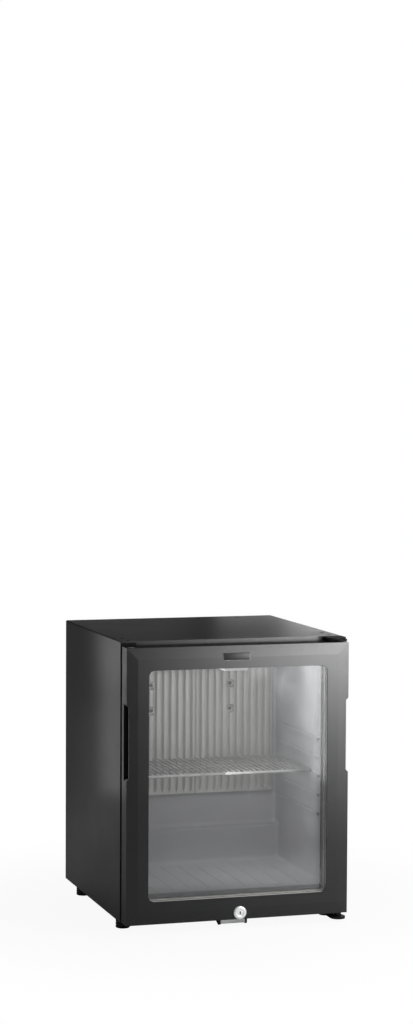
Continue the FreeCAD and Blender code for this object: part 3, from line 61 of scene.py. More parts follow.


# Shader maths

class Value:
    """A socket's result. Sums on it add Math nodes."""

    def __init__(self, finish, socket):
        self.finish = finish
        self.socket = socket

    def math(self, kind, *others):
        inputs = dict(enumerate((self,) + others))
        return self.finish.node("Math", {"operation": kind}, inputs)

    def __add__(self, other):
        return self.math("ADD", other)

    def __sub__(self, other):
        return self.math("SUBTRACT", other)

    def __mul__(self, other):
        return self.math("MULTIPLY", other)

    def __truediv__(self, other):
        return self.math("DIVIDE", other)

    def __pow__(self, other):
        return self.math("POWER", other)

    def __mod__(self, other):
        return self.math("FLOORED_MODULO", other)

    def __lt__(self, other):
        return self.math("LESS_THAN", other)

    def __radd__(self, other):
        return self + other

    def __rmul__(self, other):
        return self * other

    def __rsub__(self, other):
        return self.finish.node("Math", {"operation": "SUBTRACT"}, {0: other, 1: self})

    def __rtruediv__(self, other):
        return self.finish.node("Math", {"operation": "DIVIDE"}, {0: other, 1: self})

    def __abs__(self):
        return self.math("ABSOLUTE")

    def stripes(self, pitch):
        """How far a point is from the middle of its stripe: 0 there, 0.5 at the stripe's edge."""
        return abs((self % pitch) / pitch - 0.5)

    def ramp(self, low, high, start=0.0, end=1.0):
        """Turn low to high smoothly into start to end, and hold it there outside."""
        inputs = {"Value": self, "From Min": low, "From Max": high, "To Min": start, "To Max": end}
        return self.finish.node("MapRange", {"interpolation_type": "SMOOTHSTEP"}, inputs)


class Tree:
    """A node tree that is built node by node."""

    def __init__(self, owner):
        owner.use_nodes = True
        self.tree = owner.node_tree
        self.tree.nodes.clear()

    def node(self, kind, settings=None, inputs=None, output=0):
        """Add a node with its settings, values and links, and return one of its results."""
        made = self.tree.nodes.new("ShaderNode" + kind)
        for key, value in (settings or {}).items():
            setattr(made, key, value)
        for key, value in (inputs or {}).items():
            self.feed(made.inputs[key], value)
        return Value(self, made.outputs[output]) if made.outputs else None

    def feed(self, socket, value):
        """Link a result to a socket, or set the socket's own value."""
        if isinstance(value, Value):
            self.tree.links.new(value.socket, socket)
        elif socket.type == "RGBA":
            socket.default_value = (*plain(value), 1.0)
        else:
            socket.default_value = value


class Finish(Tree):
    """A material with its ways to draw grain, clouds and bumps."""

    def __init__(self, name):
        self.material = bpy.data.materials.new(name)
        super().__init__(self.material)
        self.place = self.node("TexCoord", output="Object")

    def axis(self, name):
        """How far along X, Y or Z a point lies, in metres."""
        return self.node("SeparateXYZ", None, {0: self.place}, output=name)

    def noise(self, size, detail=2.0, rough=0.5, place=None):
        """Soft noise whose lumps are about as wide as size, in metres."""
        inputs = {"Vector": place or self.place, "Scale": 1 / size, "Detail": detail,
                  "Roughness": rough}
        return self.node("TexNoise", None, inputs)

    def cells(self, size):
        """Round grains about as wide as size, in metres: 0 at their middles."""
        return self.node("TexVoronoi", None, {"Vector": self.place, "Scale": 1 / size})

    def stretched(self, x=1.0, y=1.0, z=1.0):
        """The place with each axis scaled, to draw a pattern out."""
        return self.node("VectorMath", {"operation": "MULTIPLY"}, {0: self.place, 1: (x, y, z)})

    def blend(self, share, first, second):
        """A colour between two others."""
        inputs = {"Factor": share, 6: first, 7: second}
        return self.node("Mix", {"data_type": "RGBA"}, inputs, output=2)

    def tones(self, share, colour, first, second):
        """A colour that goes from one shade of itself to another."""
        return self.blend(share, shade(colour, first), shade(colour, second))

    def bump(self, height, depth, strength=1.0, below=None):
        """Raise the surface by depth metres where height is 1."""
        inputs = {"Height": height, "Distance": depth, "Strength": strength}
        if below:
            inputs["Normal"] = below
        return self.node("Bump", None, inputs)

    def surface(self, **sockets):
        """End the material in a Principled shader with these sockets."""
        inputs = {key.replace("_", " "): value for key, value in sockets.items()}
        shader = self.node("BsdfPrincipled", None, inputs)
        self.node("OutputMaterial", None, {"Surface": shader})
        return self.material


def plain(colour):
    """The three numbers of a colour setting."""
    return tuple(colour)[:3]


def shade(colour, by):
    """A colour made lighter or darker."""
    return tuple(min(1.0, channel * by) for channel in plain(colour))


# Finishes

def powder_coat(name, colour, grain, rough, shine):
    """Black powder coat: a fine mottled skin with faint cloudy wear and dust."""
    f = Finish(name)
    pebbles = f.cells(grain).ramp(0.0, 0.75)
    mottle = f.noise(grain * 3.5, 2.0, 0.6)
    clouds = f.noise(0.09, 4.0, 0.6)
    dust = f.noise(grain * 0.8, 2.0, 0.7).ramp(0.62, 0.74)
    base = f.tones(clouds.ramp(0.3, 0.75), colour, 0.86, 1.14)
    base = f.blend(dust * 0.3, base, shade(colour, 3.2))
    gloss = rough + (clouds - 0.5) * 0.08 + (mottle - 0.5) * 0.16 + pebbles * 0.05
    skin = f.bump(pebbles, grain * 0.08, 0.35, f.bump(mottle, grain * 0.12, 0.3))
    return f.surface(Base_Color=base, Roughness=gloss, Normal=skin, Specular_IOR_Level=shine)


def moulded(name, colour, rough=0.5, grain=0.0007, shine=0.4):
    """Moulded plastic: a spark-eroded grain, a little flow marking and rubbed spots."""
    f = Finish(name)
    texture = f.noise(grain, 3.0, 0.6)
    flow = f.noise(0.03, 3.0, 0.5, f.stretched(1.0, 1.0, 0.35))
    base = f.tones(flow.ramp(0.35, 0.7), colour, 0.9, 1.12)
    gloss = rough + (texture - 0.5) * 0.16 + (flow - 0.5) * 0.12
    skin = f.bump(texture, grain * 0.08, 0.6)
    return f.surface(Base_Color=base, Roughness=gloss, Normal=skin, Specular_IOR_Level=shine)


def metal(name, colour, rough=0.3, brushed=(1.0, 1.0, 1.0), grain=0.0006, metallic=1.0):
    """Metal with drawn or rolled marks, small stains and uneven polish."""
    f = Finish(name)
    marks = f.noise(grain, 3.0, 0.65, f.stretched(*brushed))
    stains = f.noise(0.012, 4.0, 0.6)
    base = f.tones(stains.ramp(0.4, 0.75), colour, 1.05, 0.82)
    gloss = rough + (marks - 0.5) * 0.18 + stains.ramp(0.45, 0.8) * 0.10
    skin = f.bump(marks, grain * 0.03, 0.5)
    return f.surface(Base_Color=base, Roughness=gloss, Normal=skin, Metallic=metallic)


def liner_plastic(name, colour):
    """Vacuum-formed liner sheet: pale and softly glossy, with slow waves and a fine skin."""
    f = Finish(name)
    waves = f.noise(0.05, 2.0, 0.5)
    fine = f.noise(0.0009, 2.0, 0.6)
    cloud = f.noise(0.11, 3.0, 0.6, f.stretched(0.5, 1.6, 1.0))
    base = f.tones(cloud.ramp(0.35, 0.72), colour, 0.93, 1.04)
    gloss = 0.46 + (cloud - 0.5) * 0.14 + fine * 0.05
    skin = f.bump(waves, 0.0006, 0.35, f.bump(fine, 0.00004, 0.4))
    return f.surface(Base_Color=base, Roughness=gloss, Normal=skin, Specular_IOR_Level=0.32)


def lacquered_plate(name, colour):
    """Pressed aluminium under clear lacquer: upright rolling marks, dull patches, a few stains."""
    f = Finish(name)
    rolled = f.noise(0.0012, 3.0, 0.6, f.stretched(1.0, 1.0, 0.06))
    patches = f.noise(0.035, 4.0, 0.6, f.stretched(1.0, 1.0, 0.5))
    stain = f.noise(0.016, 3.0, 0.7).ramp(0.64, 0.78)
    base = f.tones(patches.ramp(0.35, 0.75), colour, 0.94, 1.06)
    base = f.blend(stain * 0.25, base, (0.34, 0.30, 0.25))
    gloss = 0.38 + (rolled - 0.5) * 0.2 + patches * 0.08
    skin = f.bump(rolled, 0.00005, 0.5)
    return f.surface(Base_Color=base, Roughness=gloss, Normal=skin, Metallic=0.25,
                     Specular_IOR_Level=0.5)


def pane(name, tint, mirror, haze):
    """Clear float glass: it mirrors a little, more at a glance, and is clouded by handling."""
    f = Finish(name)
    smear = f.noise(0.045, 4.0, 0.6, f.stretched(1.0, 1.0, 0.6))
    glance = f.node("LayerWeight", None, {"Blend": 0.5}, "Facing") ** 5
    share = mirror + glance * 0.7 + smear.ramp(0.5, 0.8) * haze
    gloss = 0.10 + smear.ramp(0.45, 0.8) * 0.12
    through = f.node("BsdfTransparent", None, {"Color": tint})
    shine = f.node("BsdfPrincipled", None,
                   {"Base Color": (0.93, 0.94, 0.95), "Metallic": 0.85, "Roughness": gloss})
    glass = f.node("MixShader", None, {0: share, 1: through, 2: shine})
    f.node("OutputMaterial", None, {"Surface": glass})
    return f.material


def perforated_spacer(name, colour, front):
    """The spacer's folded strip: bright shoulders and a row of holes down its dark middle."""
    f = Finish(name)
    pitch, depth, spacing = 0.0021, 0.009, 0.0125
    along = f.axis("Z") + f.axis("X")
    across = ((f.axis("Y") - front) % spacing) / depth - 0.5
    middle = abs(across) < 0.44
    bright = (along.stripes(pitch) < 0.26) * (abs(across) < 0.17)
    dark = middle - bright
    fine = f.noise(0.0008, 2.0, 0.6)
    base = f.blend(dark, colour, (0.006, 0.006, 0.006))
    gloss = 0.36 + fine * 0.14 + dark * 0.4
    skin = f.bump(1 - dark, 0.0003, 0.8)
    return f.surface(Base_Color=base, Roughness=gloss, Metallic=0.35 - dark * 0.35, Normal=skin,
                     Specular_IOR_Level=0.3)


def seal_rubber(name, colour):
    """Soft black vinyl with a dusty bloom and tiny pits."""
    f = Finish(name)
    pits = f.cells(0.0011)
    bloom = f.noise(0.02, 4.0, 0.65)
    base = f.blend(bloom.ramp(0.45, 0.75), colour, shade(colour, 2.4))
    gloss = 0.62 + bloom * 0.2 - pits * 0.06
    skin = f.bump(pits, 0.00006, 0.5)
    return f.surface(Base_Color=base, Roughness=gloss, Normal=skin, Sheen_Weight=0.15)


def foamed(name, colour):
    """Cut polyurethane foam: open cells and darker aged patches."""
    f = Finish(name)
    open_cells = f.cells(0.0014)
    aged = f.noise(0.03, 4.0, 0.6)
    base = f.blend(aged.ramp(0.35, 0.75), colour, shade(colour, 0.72))
    skin = f.bump(open_cells, 0.0004, 0.8)
    return f.surface(Base_Color=base, Roughness=0.85 - open_cells * 0.1, Normal=skin)


def tube_paint(name, colour):
    """Dip paint on the unit's tubes: glossy and runny, with rust starting at the thin spots."""
    f = Finish(name)
    runs = f.noise(0.008, 3.0, 0.6, f.stretched(1.0, 1.0, 0.4))
    rust = f.noise(0.004, 4.0, 0.7).ramp(0.68, 0.76)
    base = f.tones(runs.ramp(0.35, 0.7), colour, 0.8, 1.3)
    base = f.blend(rust * 0.6, base, (0.09, 0.035, 0.015))
    gloss = 0.32 + runs * 0.12 + rust * 0.3
    skin = f.bump(runs, 0.0004, 0.5)
    return f.surface(Base_Color=base, Roughness=gloss, Normal=skin)


def galvanised(name, colour):
    """Zinc-coated sheet with its spangle."""
    f = Finish(name)
    spangle = f.node("TexVoronoi", None, {"Vector": f.place, "Scale": 90.0}, output="Color")
    tone = f.node("SeparateColor", None, {0: spangle})
    fine = f.noise(0.001, 2.0, 0.6)
    base = f.tones(tone, colour, 0.72, 1.1)
    gloss = 0.35 + tone * 0.2 + fine * 0.06
    skin = f.bump(fine, 0.00003, 0.5)
    return f.surface(Base_Color=base, Roughness=gloss, Metallic=0.9, Normal=skin)


def circuit_board(name, colour):
    """Green solder mask over copper tracks, with tinned pads."""
    f = Finish(name)
    tracks = (f.axis("X").stripes(0.004) < 0.16) * f.noise(0.006, 1.0).ramp(0.4, 0.5)
    pads = f.cells(0.0045) < 0.18
    base = f.blend(tracks, colour, shade(colour, 1.9))
    base = f.blend(pads, base, (0.75, 0.74, 0.7))
    return f.surface(Base_Color=base, Roughness=0.4 - pads * 0.15, Metallic=pads * 0.9)


def glowing_lens(name, colour, glow):
    """Milky lamp cover that lets the light through between its ribs. On the lamp's housing, which
    is no lamp, this glow is a painted highlight.
    """
    f = Finish(name)
    ribs = f.axis("X").stripes(0.003) * 2
    milk = f.noise(0.004, 3.0, 0.6)
    base = f.blend(milk.ramp(0.3, 0.7), shade(colour, 0.94), colour)
    skin = f.bump(ribs, 0.0004, 0.7)
    light = f.blend(ribs, shade(colour, 0.88), colour)
    return f.surface(Base_Color=base, Roughness=0.3 + milk * 0.1, Normal=skin, Emission_Color=light,
                     Emission_Strength=glow)


# Mesh tools

def centre(low, high):
    """The middle of a box, as three plain numbers."""
    return tuple((near + far) / 2 for near, far in zip(low, high))


def corner_places(low, high, inset, other="z"):
    """The places that lie inset from a box's corners, as their X and their other coordinate."""
    return [(x, far) for x in (low.x + inset, high.x - inset)
            for far in (getattr(low, other) + inset, getattr(high, other) - inset)]


def new_object(name, build):
    """Turn a built mesh into an object of the scene."""
    mesh = bpy.data.meshes.new(name)
    build.to_mesh(mesh)
    build.free()
    made = bpy.data.objects.new(name, mesh)
    bpy.context.scene.collection.objects.link(made)
    return made


def make_object(name, build, finish, body, replaced=(), smooth=35.0):
    """Turn a built mesh into a piece that rides on a body."""
    piece = new_object(name, build)
    mesh = piece.data
    for material in finish if isinstance(finish, (list, tuple)) else [finish]:
        mesh.materials.append(material)
    for face in mesh.polygons:
        face.use_smooth = True
    mesh.set_sharp_from_angle(angle=math.radians(smooth))
    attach(piece, body)
    if replaced:
        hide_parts(*replaced)
    return piece


def turned(profile, spot, facing="y", steps=48, build=None):
    """Turn a profile of (radius, distance along the axis) round an axis through a spot."""
    build = build or bmesh.new()
    along = {"x": Vector((1, 0, 0)), "y": Vector((0, 1, 0)), "z": Vector((0, 0, 1))}[facing]
    aside = {"x": Vector((0, 1, 0)), "y": Vector((0, 0, 1)), "z": Vector((1, 0, 0))}[facing]
    across = along.cross(aside)
    rings = []
    for radius, far in profile:
        middle = Vector(spot) + along * far
        if radius == 0:
            rings.append([build.verts.new(middle)])
            continue
        angles = [2 * math.pi * step / steps for step in range(steps)]
        rim = [middle + (aside * math.cos(a) + across * math.sin(a)) * radius for a in angles]
        rings.append([build.verts.new(point) for point in rim])
    for low, high in zip(rings, rings[1:]):
        for step in range(steps):
            following = (step + 1) % steps
            corners = (low[step % len(low)], low[following % len(low)],
                       high[following % len(high)], high[step % len(high)])
            build.faces.new(list(dict.fromkeys(corners)))
    bmesh.ops.recalc_face_normals(build, faces=build.faces)
    return build


def soft_block(low, high, radius, build=None, slot=0, segments=3):
    """A box with rounded edges."""
    build = build or bmesh.new()
    made = bmesh.ops.create_cube(build, size=1.0)["verts"]
    size = Vector(high) - Vector(low)
    bmesh.ops.scale(build, vec=size, verts=made)
    bmesh.ops.translate(build, vec=(Vector(high) + Vector(low)) / 2, verts=made)
    edges = list(dict.fromkeys(edge for vert in made for edge in vert.link_edges))
    for face in dict.fromkeys(face for vert in made for face in vert.link_faces):
        face.material_index = slot
    bmesh.ops.bevel(build, geom=edges, offset=radius, segments=segments, affect="EDGES",
                    profile=0.5)
    return build


def loop_profile(profile, half_width, low, high, radius, steps=6):
    """Sweep a closed profile of (inset, depth) round an upright rectangle with round corners."""
    build = bmesh.new()
    middle = (low + high) / 2
    half_height = (high - low) / 2
    stations = []
    for quarter, (sx, sz) in enumerate(((1, 1), (-1, 1), (-1, -1), (1, -1))):
        for step in range(steps + 1):
            turn = math.pi / 2 * (quarter + step / steps)
            stations.append((sx, sz, math.cos(turn), math.sin(turn)))
    rings = []
    for sx, sz, dx, dz in stations:
        ring = []
        for inset, depth in profile:
            bend = max(radius - inset, 0.0)
            slack = inset + bend
            x = sx * (half_width - slack) + dx * bend
            z = middle + sz * (half_height - slack) + dz * bend
            ring.append(build.verts.new((x, depth, z)))
        rings.append(ring)
    count = len(profile)
    for ring, following in zip(rings, rings[1:] + rings[:1]):
        for step in range(count):
            beside = (step + 1) % count
            build.faces.new((ring[step], ring[beside], following[beside], following[step]))
    bmesh.ops.remove_doubles(build, verts=build.verts, dist=1e-6)
    bmesh.ops.recalc_face_normals(build, faces=build.faces)
    return build


def pan_screw(build, spot, facing, radius, height):
    """A pan head with a cross recess, standing on the surface at a spot. The recess is a near-black
    block of painted shade set into the head.
    """
    sign = 1 if facing[0] == "+" else -1
    axis = facing[1]
    profile = [(0.0, 0.0), (radius, 0.0), (radius, height * 0.35), (radius * 0.93, height * 0.62),
               (radius * 0.72, height * 0.85), (radius * 0.4, height * 0.96), (0.0, height * 0.96)]
    turned([(r, sign * far) for r, far in profile], spot, axis, 28, build)
    along = {"x": 0, "y": 1, "z": 2}[axis]
    for arm in range(2):
        # The cross recess is no hollow: a block in the shade slot, painted dark as shade.
        reach = [radius * 0.14] * 3
        wide = [k for k in range(3) if k != along][arm]
        reach[wide] = radius * 0.58
        reach[along] = height * 0.1
        top = Vector(spot)
        top[along] += sign * height * 0.9
        low = [top[k] - reach[k] for k in range(3)]
        high = [top[k] + reach[k] for k in range(3)]
        soft_block(low, high, height * 0.03, build, RECESS_SHADE_SLOT, 1)
    return build


def flush_screw(build, x, y, foot, top):
    """A countersunk head with a low dome and a cross, set in a top face. The cross is a thin block
    of painted shade on the dome.
    """
    shank, dome = 0.0017, 0.0005
    turned([(0.0, foot), (shank, foot), (shank, top - 0.0024), (LARGE_HEAD, top - 0.0001),
            (LARGE_HEAD - 0.0003, top + 0.0002), (LARGE_HEAD * 0.6, top + 0.00042),
            (0.0, top + 0.00048)], (x, y, 0.0), "z", 32, build)
    # The cross: thin blocks in the shade slot, painted dark as the shade in a recess.
    for across, along in ((0.0006, 0.0022), (0.0022, 0.0006)):
        soft_block((x - across, y - along, top), (x + across, y + along, top + dome), 0.0001,
                   build, RECESS_SHADE_SLOT, 1)


def screw_heads(node, build, finish):
    """Turn built heads into a piece that takes the place of a node of screws."""
    make_object(node[:-1] + "_heads", build, finish, "cabinet", [node])


def collar(build, spots, radius, height, facing):
    """Low rings, such as weld beads, round tubes at some spots."""
    for spot in spots:
        profile = [(radius, -height / 2)]
        for step in range(7):
            turn = math.pi * (step / 6 - 0.5)
            profile.append((radius + height * 0.32 * math.cos(turn), height / 2 * math.sin(turn)))
        profile.append((radius, height / 2))
        turned(profile, spot, facing, 32, build)
    return build


def soften(node, width, angle=50.0, segments=2):
    """Round the edges of a frame node with modifiers, without touching its mesh."""
    bevel = NODES[node].modifiers.new("rounding", "BEVEL")
    bevel.width = width
    bevel.segments = segments
    bevel.limit_method = "ANGLE"
    bevel.angle_limit = math.radians(angle)
    bevel.harden_normals = False


def paint(material, *names, rounding=0.0):
    """Give frame nodes a finish, and round their edges where a width is given."""
    for name in names:
        if rounding:
            soften(name, rounding)
        slots = NODES[name].material_slots
        if not slots:
            NODES[name].data.materials.append(material)
        for slot in slots:
            slot.material = material


# Settings

def colour_setting(name, description, default):
    """A colour that the user can change."""
    return bpy.props.FloatVectorProperty(name=name, description=description, default=default,
                                         size=3, subtype="COLOR", min=0.0, max=1.0)


def length_setting(name, description, default):
    """A length in metres that the user can change."""
    return bpy.props.FloatProperty(name=name, description=description, default=default, min=0.0,
                                   unit="LENGTH", subtype="DISTANCE", precision=5)


def share_setting(name, description, default, top=1.0):
    """A plain share or strength that the user can change."""
    return bpy.props.FloatProperty(name=name, description=description, default=default, min=0.0,
                                   max=top)


def power_setting(name, description, default):
    """A lamp's power that the user can change."""
    return bpy.props.FloatProperty(name=name, description=description, default=default, min=0.0,
                                   unit="POWER")


class CabinetLook(bpy.types.PropertyGroup):
    """Colours and grain of the outside."""
    shell_colour: colour_setting("Shell colour", "Powder coat of the cabinet",
                                 (0.009, 0.009, 0.0095))
    door_colour: colour_setting("Door colour", "Coat of the door frame", (0.009, 0.009, 0.0095))
    plastic_colour: colour_setting("Plastic colour", "Feet, caps and hinge cover",
                                   (0.010, 0.010, 0.011))
    grain: length_setting("Coat grain", "Width of one pebble of the powder coat", 0.0007)
    shell_rough: share_setting("Shell roughness", "How dull the cabinet is", 0.38)
    door_rough: share_setting("Door roughness", "How dull the door is", 0.36)
    shine: share_setting("Shine", "How strongly the coat mirrors", 0.5)


class InsideLook(bpy.types.PropertyGroup):
    """Colours of what shows through the glass."""
    liner_colour: colour_setting("Liner colour", "Formed liner sheet", (0.50, 0.498, 0.512))
    plate_colour: colour_setting("Cold plate colour", "Lacquered aluminium", (0.60, 0.60, 0.58))
    wire_colour: colour_setting("Wire colour", "Shelf wires", (0.50, 0.50, 0.49))
    glass_tint: colour_setting("Glass tint", "What one side of a pane lets through",
                               (0.987, 0.988, 0.988))
    spacer_colour: colour_setting("Spacer colour", "Mill-finish strip between the panes",
                                  (0.78, 0.77, 0.73))
    glass_mirror: share_setting("Glass mirror", "How much one side of a pane mirrors", 0.042)
    glass_haze: share_setting("Glass haze", "How much the handled spots add to that", 0.015)
    lamp_glow: share_setting("Lamp glow", "Brightness of the lamp cover", 1.0, 50.0)
    rib_depth: length_setting("Rib depth", "How far the cold plate's ribs stand out", 0.0070)
    rib_run_out: length_setting("Rib run-out", "Length over which the grooves close at the foot",
                                0.013)
    plate_hem: length_setting("Plate hem", "Plain edge below the grooves", 0.002)
    plate_sheet: length_setting("Plate sheet", "Thickness of the pressed sheet", 0.0012)


class FittingLook(bpy.types.PropertyGroup):
    """Colours and sizes of the lock, badge and hinges."""
    lock_colour: colour_setting("Lock colour", "Satin nickel of the lock", (0.93, 0.94, 0.94))
    chrome_colour: colour_setting("Bright colour", "Plated rim and keeper bar", (0.80, 0.81, 0.82))
    zinc_colour: colour_setting("Zinc colour", "Plated screws, nut and cam", (0.62, 0.61, 0.58))
    badge_rim: length_setting("Badge rim", "Width of the bare badge plate's bright rim", 0.0008)
    keyhole_height: length_setting("Keyhole height", "Length of the key slot", 0.0062)


class UnitLook(bpy.types.PropertyGroup):
    """Colours of the cooling unit behind the cabinet."""
    tube_colour: colour_setting("Tube paint", "Dip paint of the tubes", (0.022, 0.022, 0.023))
    boiler_colour: colour_setting("Boiler case", "Zinc-coated case", (0.50, 0.51, 0.52))
    foam_colour: colour_setting("Foam", "Insulation behind the liner", (0.72, 0.62, 0.34))


class StageLook(bpy.types.PropertyGroup):
    """Strength of the studio lights."""
    front_power: power_setting("Front lights", "Power of the softbox at the front right", 3.5)
    rear_power: power_setting("Rear lights", "Power of the strip behind on the right, for the top",
                              0.34)
    side_power: power_setting("Side lights", "Power of the strip beside the left side", 0.035)
    inside_power: power_setting("Inside lights",
                                "Power of the light that falls in through the glass", 0.20)
    fill_power: power_setting("Fill lights", "Power of the lights behind, on the right and above",
                              4.0)
    sky: share_setting("Surround", "Brightness of the surround on dull surfaces", 0.32, 5.0)
    wall: share_setting("Studio walls", "Brightness of the walls in what is mirrored", 0.05, 5.0)


class Builder:
    """What the operators share."""
    bl_options = {"REGISTER", "UNDO"}


# Stage

# Each lamp: name, place, target, width, height, the setting with its power, its share of that
LAMPS = (
    ("front_softbox", (0.46, -0.75, 0.50), (0.15, -0.20, 0.45), 0.15, 0.20, "front_power", 1.0),
    ("front_strip", (0.46, -0.75, 0.40), (0.15, -0.20, 0.40), 0.20, 0.50, "front_power", 0.57),
    ("front_bar", (0.25, -0.75, 0.47), (0.10, -0.20, 0.48), 0.26, 0.05, "front_power", 0.40),
    ("rear_strip", (0.50, 0.60, 0.62), (0.15, 0.0, 0.50), 0.25, 0.10, "rear_power", 1.0),
    ("rear_middle", (0.34, 0.75, 0.60), (0.05, 0.0, 0.50), 0.15, 0.05, "rear_power", 0.16),
    ("rear_left", (0.05, 0.90, 0.66), (0.0, 0.0, 0.50), 0.40, 0.05, "rear_power", 0.15),
    ("side_near", (-0.275, 0.06, 0.36), (-0.20, -0.19, 0.38), 0.03, 0.32, "side_power", 1.4),
    ("side_high", (-0.31, 0.12, 0.48), (-0.20, -0.19, 0.46), 0.03, 0.16, "side_power", 0.66),
    ("side_low", (-0.33, 0.30, 0.20), (-0.20, -0.15, 0.25), 0.06, 0.25, "side_power", 0.36),
    ("window_light", (0.0, -0.15, 0.29), (0.0, 0.10, 0.27), 0.28, 0.30, "inside_power", 1.0),
    ("ceiling_light", (0.0, -0.15, 0.40), (0.0, 0.10, 0.35), 0.28, 0.08, "inside_power", 0.52),
    ("wall_light", (-0.08, -0.14, 0.40), (0.165, -0.08, 0.38), 0.10, 0.10, "inside_power", 0.13),
    ("middle_light", (0.02, -0.15, 0.27), (0.165, -0.08, 0.24), 0.08, 0.10, "inside_power", 0.30),
    ("corner_light", (0.08, -0.13, 0.43), (0.165, -0.12, 0.42), 0.05, 0.04, "inside_power", 0.31),
    ("back_fill", (0.35, 1.0, 0.26), (0.35, 0.2, 0.26), 1.10, 0.40, "fill_power", 1.0),
    ("right_fill", (1.1, 0.33, 0.26), (0.2, 0.33, 0.26), 1.10, 0.40, "fill_power", 0.7),
    ("top_fill", (0.0, 0.05, 1.60), (0.0, 0.0, 0.50), 0.50, 0.50, "fill_power", 0.5),
)


class MINIBAR_OT_stage(Builder, bpy.types.Operator):
    """Set up the camera, the pale floor and the soft studio lights"""
    bl_idname = "minibar.stage"
    bl_label = "Stage"

    def execute(self, context):
        stage = context.scene.minibar_stage
        self.add_camera()
        self.add_surround(stage)
        self.add_floor()
        for name, place, target, width, height, setting, share in LAMPS:
            self.add_lamp(name, place, target, width, height, getattr(stage, setting) * share)
        return {"FINISHED"}

    def add_camera(self):
        """The photograph's camera, from its fitted place, yaw, pitch and roll."""
        yaw, pitch, roll = 0.3008, 0.0520, 0.0048
        level = math.cos(pitch)
        ahead = Vector((math.sin(yaw) * level, math.cos(yaw) * level, -math.sin(pitch)))
        right = Vector((math.cos(yaw), -math.sin(yaw), 0.0))
        up = right.cross(ahead)
        tilted_right = right * math.cos(roll) + up * math.sin(roll)
        tilted_up = up * math.cos(roll) - right * math.sin(roll)
        turn = Matrix((tilted_right, tilted_up, -ahead)).transposed().to_4x4()
        data = bpy.data.cameras.new("camera")
        data.sensor_width = 36.0
        data.lens = 83.96
        data.clip_end = 60.0
        camera = bpy.data.objects.new("camera", data)
        camera.matrix_world = Matrix.Translation((-1.26183, -4.08298, 0.93244)) @ turn
        bpy.context.scene.collection.objects.link(camera)
        bpy.context.scene.camera = camera

    def add_surround(self, stage):
        """White behind the object, a plain level on dull surfaces, dim walls where they mirror."""
        world = bpy.data.worlds.new("studio")
        bpy.context.scene.world = world
        f = Tree(world)
        glossy = f.node("LightPath", output="Is Glossy Ray")
        passed = f.node("LightPath", output="Is Transmission Ray")
        seen = f.node("LightPath", output="Is Camera Ray").math("MAXIMUM", passed)
        strength = stage.sky + glossy * (stage.wall - stage.sky)
        strength = strength + seen * (1 - strength)
        white = f.node("Background", None, {"Color": (1.0, 1.0, 1.0), "Strength": strength})
        f.node("OutputWorld", None, {"Surface": white})
        bpy.context.scene.view_settings.view_transform = "Standard"

    def add_floor(self):
        """A pale floor that keeps the object's shadow and meets the white behind it."""
        build = bmesh.new()
        bmesh.ops.create_grid(build, x_segments=1, y_segments=1, size=30.0)
        floor = new_object("floor", build)
        f = Finish("pale_floor")
        mottle = f.noise(0.4, 3.0, 0.5)
        tone = f.blend(mottle, (0.54, 0.54, 0.54), (0.57, 0.57, 0.57))
        matt = f.node("BsdfDiffuse", None, {"Color": tone})
        white = f.node("Emission", None, {"Color": (1.0, 1.0, 1.0), "Strength": 1.0})
        seen = f.node("LightPath", None, None, "Is Camera Ray")
        away = f.node("VectorMath", {"operation": "LENGTH"}, {0: f.place}, "Value")
        shader = f.node("MixShader", None,
                        {0: seen * away.ramp(0.25, 0.75, 0.93, 1.0), 1: matt, 2: white})
        f.node("OutputMaterial", None, {"Surface": shader})
        floor.data.materials.append(f.material)

    def add_lamp(self, name, place, target, width, height, power):
        """A soft rectangular lamp that points at a target."""
        data = bpy.data.lights.new(name, "AREA")
        data.shape = "RECTANGLE"
        data.size = width
        data.size_y = height
        data.energy = power
        lamp = bpy.data.objects.new(name, data)
        lamp.location = place
        lamp.rotation_euler = (Vector(target) - Vector(place)).to_track_quat("-Z", "Y").to_euler()
        lamp.visible_camera = False
        bpy.context.scene.collection.objects.link(lamp)


# Outside

class MINIBAR_OT_cabinet(Builder, bpy.types.Operator):
    """Coat the cabinet's sheet metal and round its folds"""
    bl_idname = "minibar.cabinet"
    bl_label = "Cabinet"

    def execute(self, context):
        cabinet = context.scene.minibar_cabinet
        unit = context.scene.minibar_unit
        coat = powder_coat("cabinet_powder_coat", cabinet.shell_colour, cabinet.grain,
                           cabinet.shell_rough, cabinet.shine)
        paint(coat, "outer_shell", "base_plate", "rear_foot_rail", "rear_top_rail")
        soften("outer_shell", 0.0005)
        paint(galvanised("back_plate_zinc", unit.boiler_colour), "back_plate")
        paint(foamed("insulation_foam", unit.foam_colour), "foam_insulation", "insulation_plug")
        return {"FINISHED"}


class MINIBAR_OT_door(Builder, bpy.types.Operator):
    """Coat the door's frame, its rear ring and the spare hinge plugs"""
    bl_idname = "minibar.door"
    bl_label = "Door frame"

    def execute(self, context):
        cabinet = context.scene.minibar_cabinet
        coat = powder_coat("door_powder_coat", cabinet.door_colour, cabinet.grain,
                           cabinet.door_rough, cabinet.shine)
        paint(coat, "door_frame", rounding=0.0006)
        plastic = moulded("door_black_plastic", cabinet.plastic_colour)
        paint(plastic, "glass_retainer", "top_hinge_bush", "bottom_hinge_bush")
        # The plugs' light grey is partly their natural nylon and partly a painted highlight for the
        # glints on their tops.
        nylon = moulded("spare_plug_nylon", (0.30, 0.30, 0.29), 0.42)
        paint(nylon, "spare_hinge_plugs", rounding=0.0006)
        return {"FINISHED"}


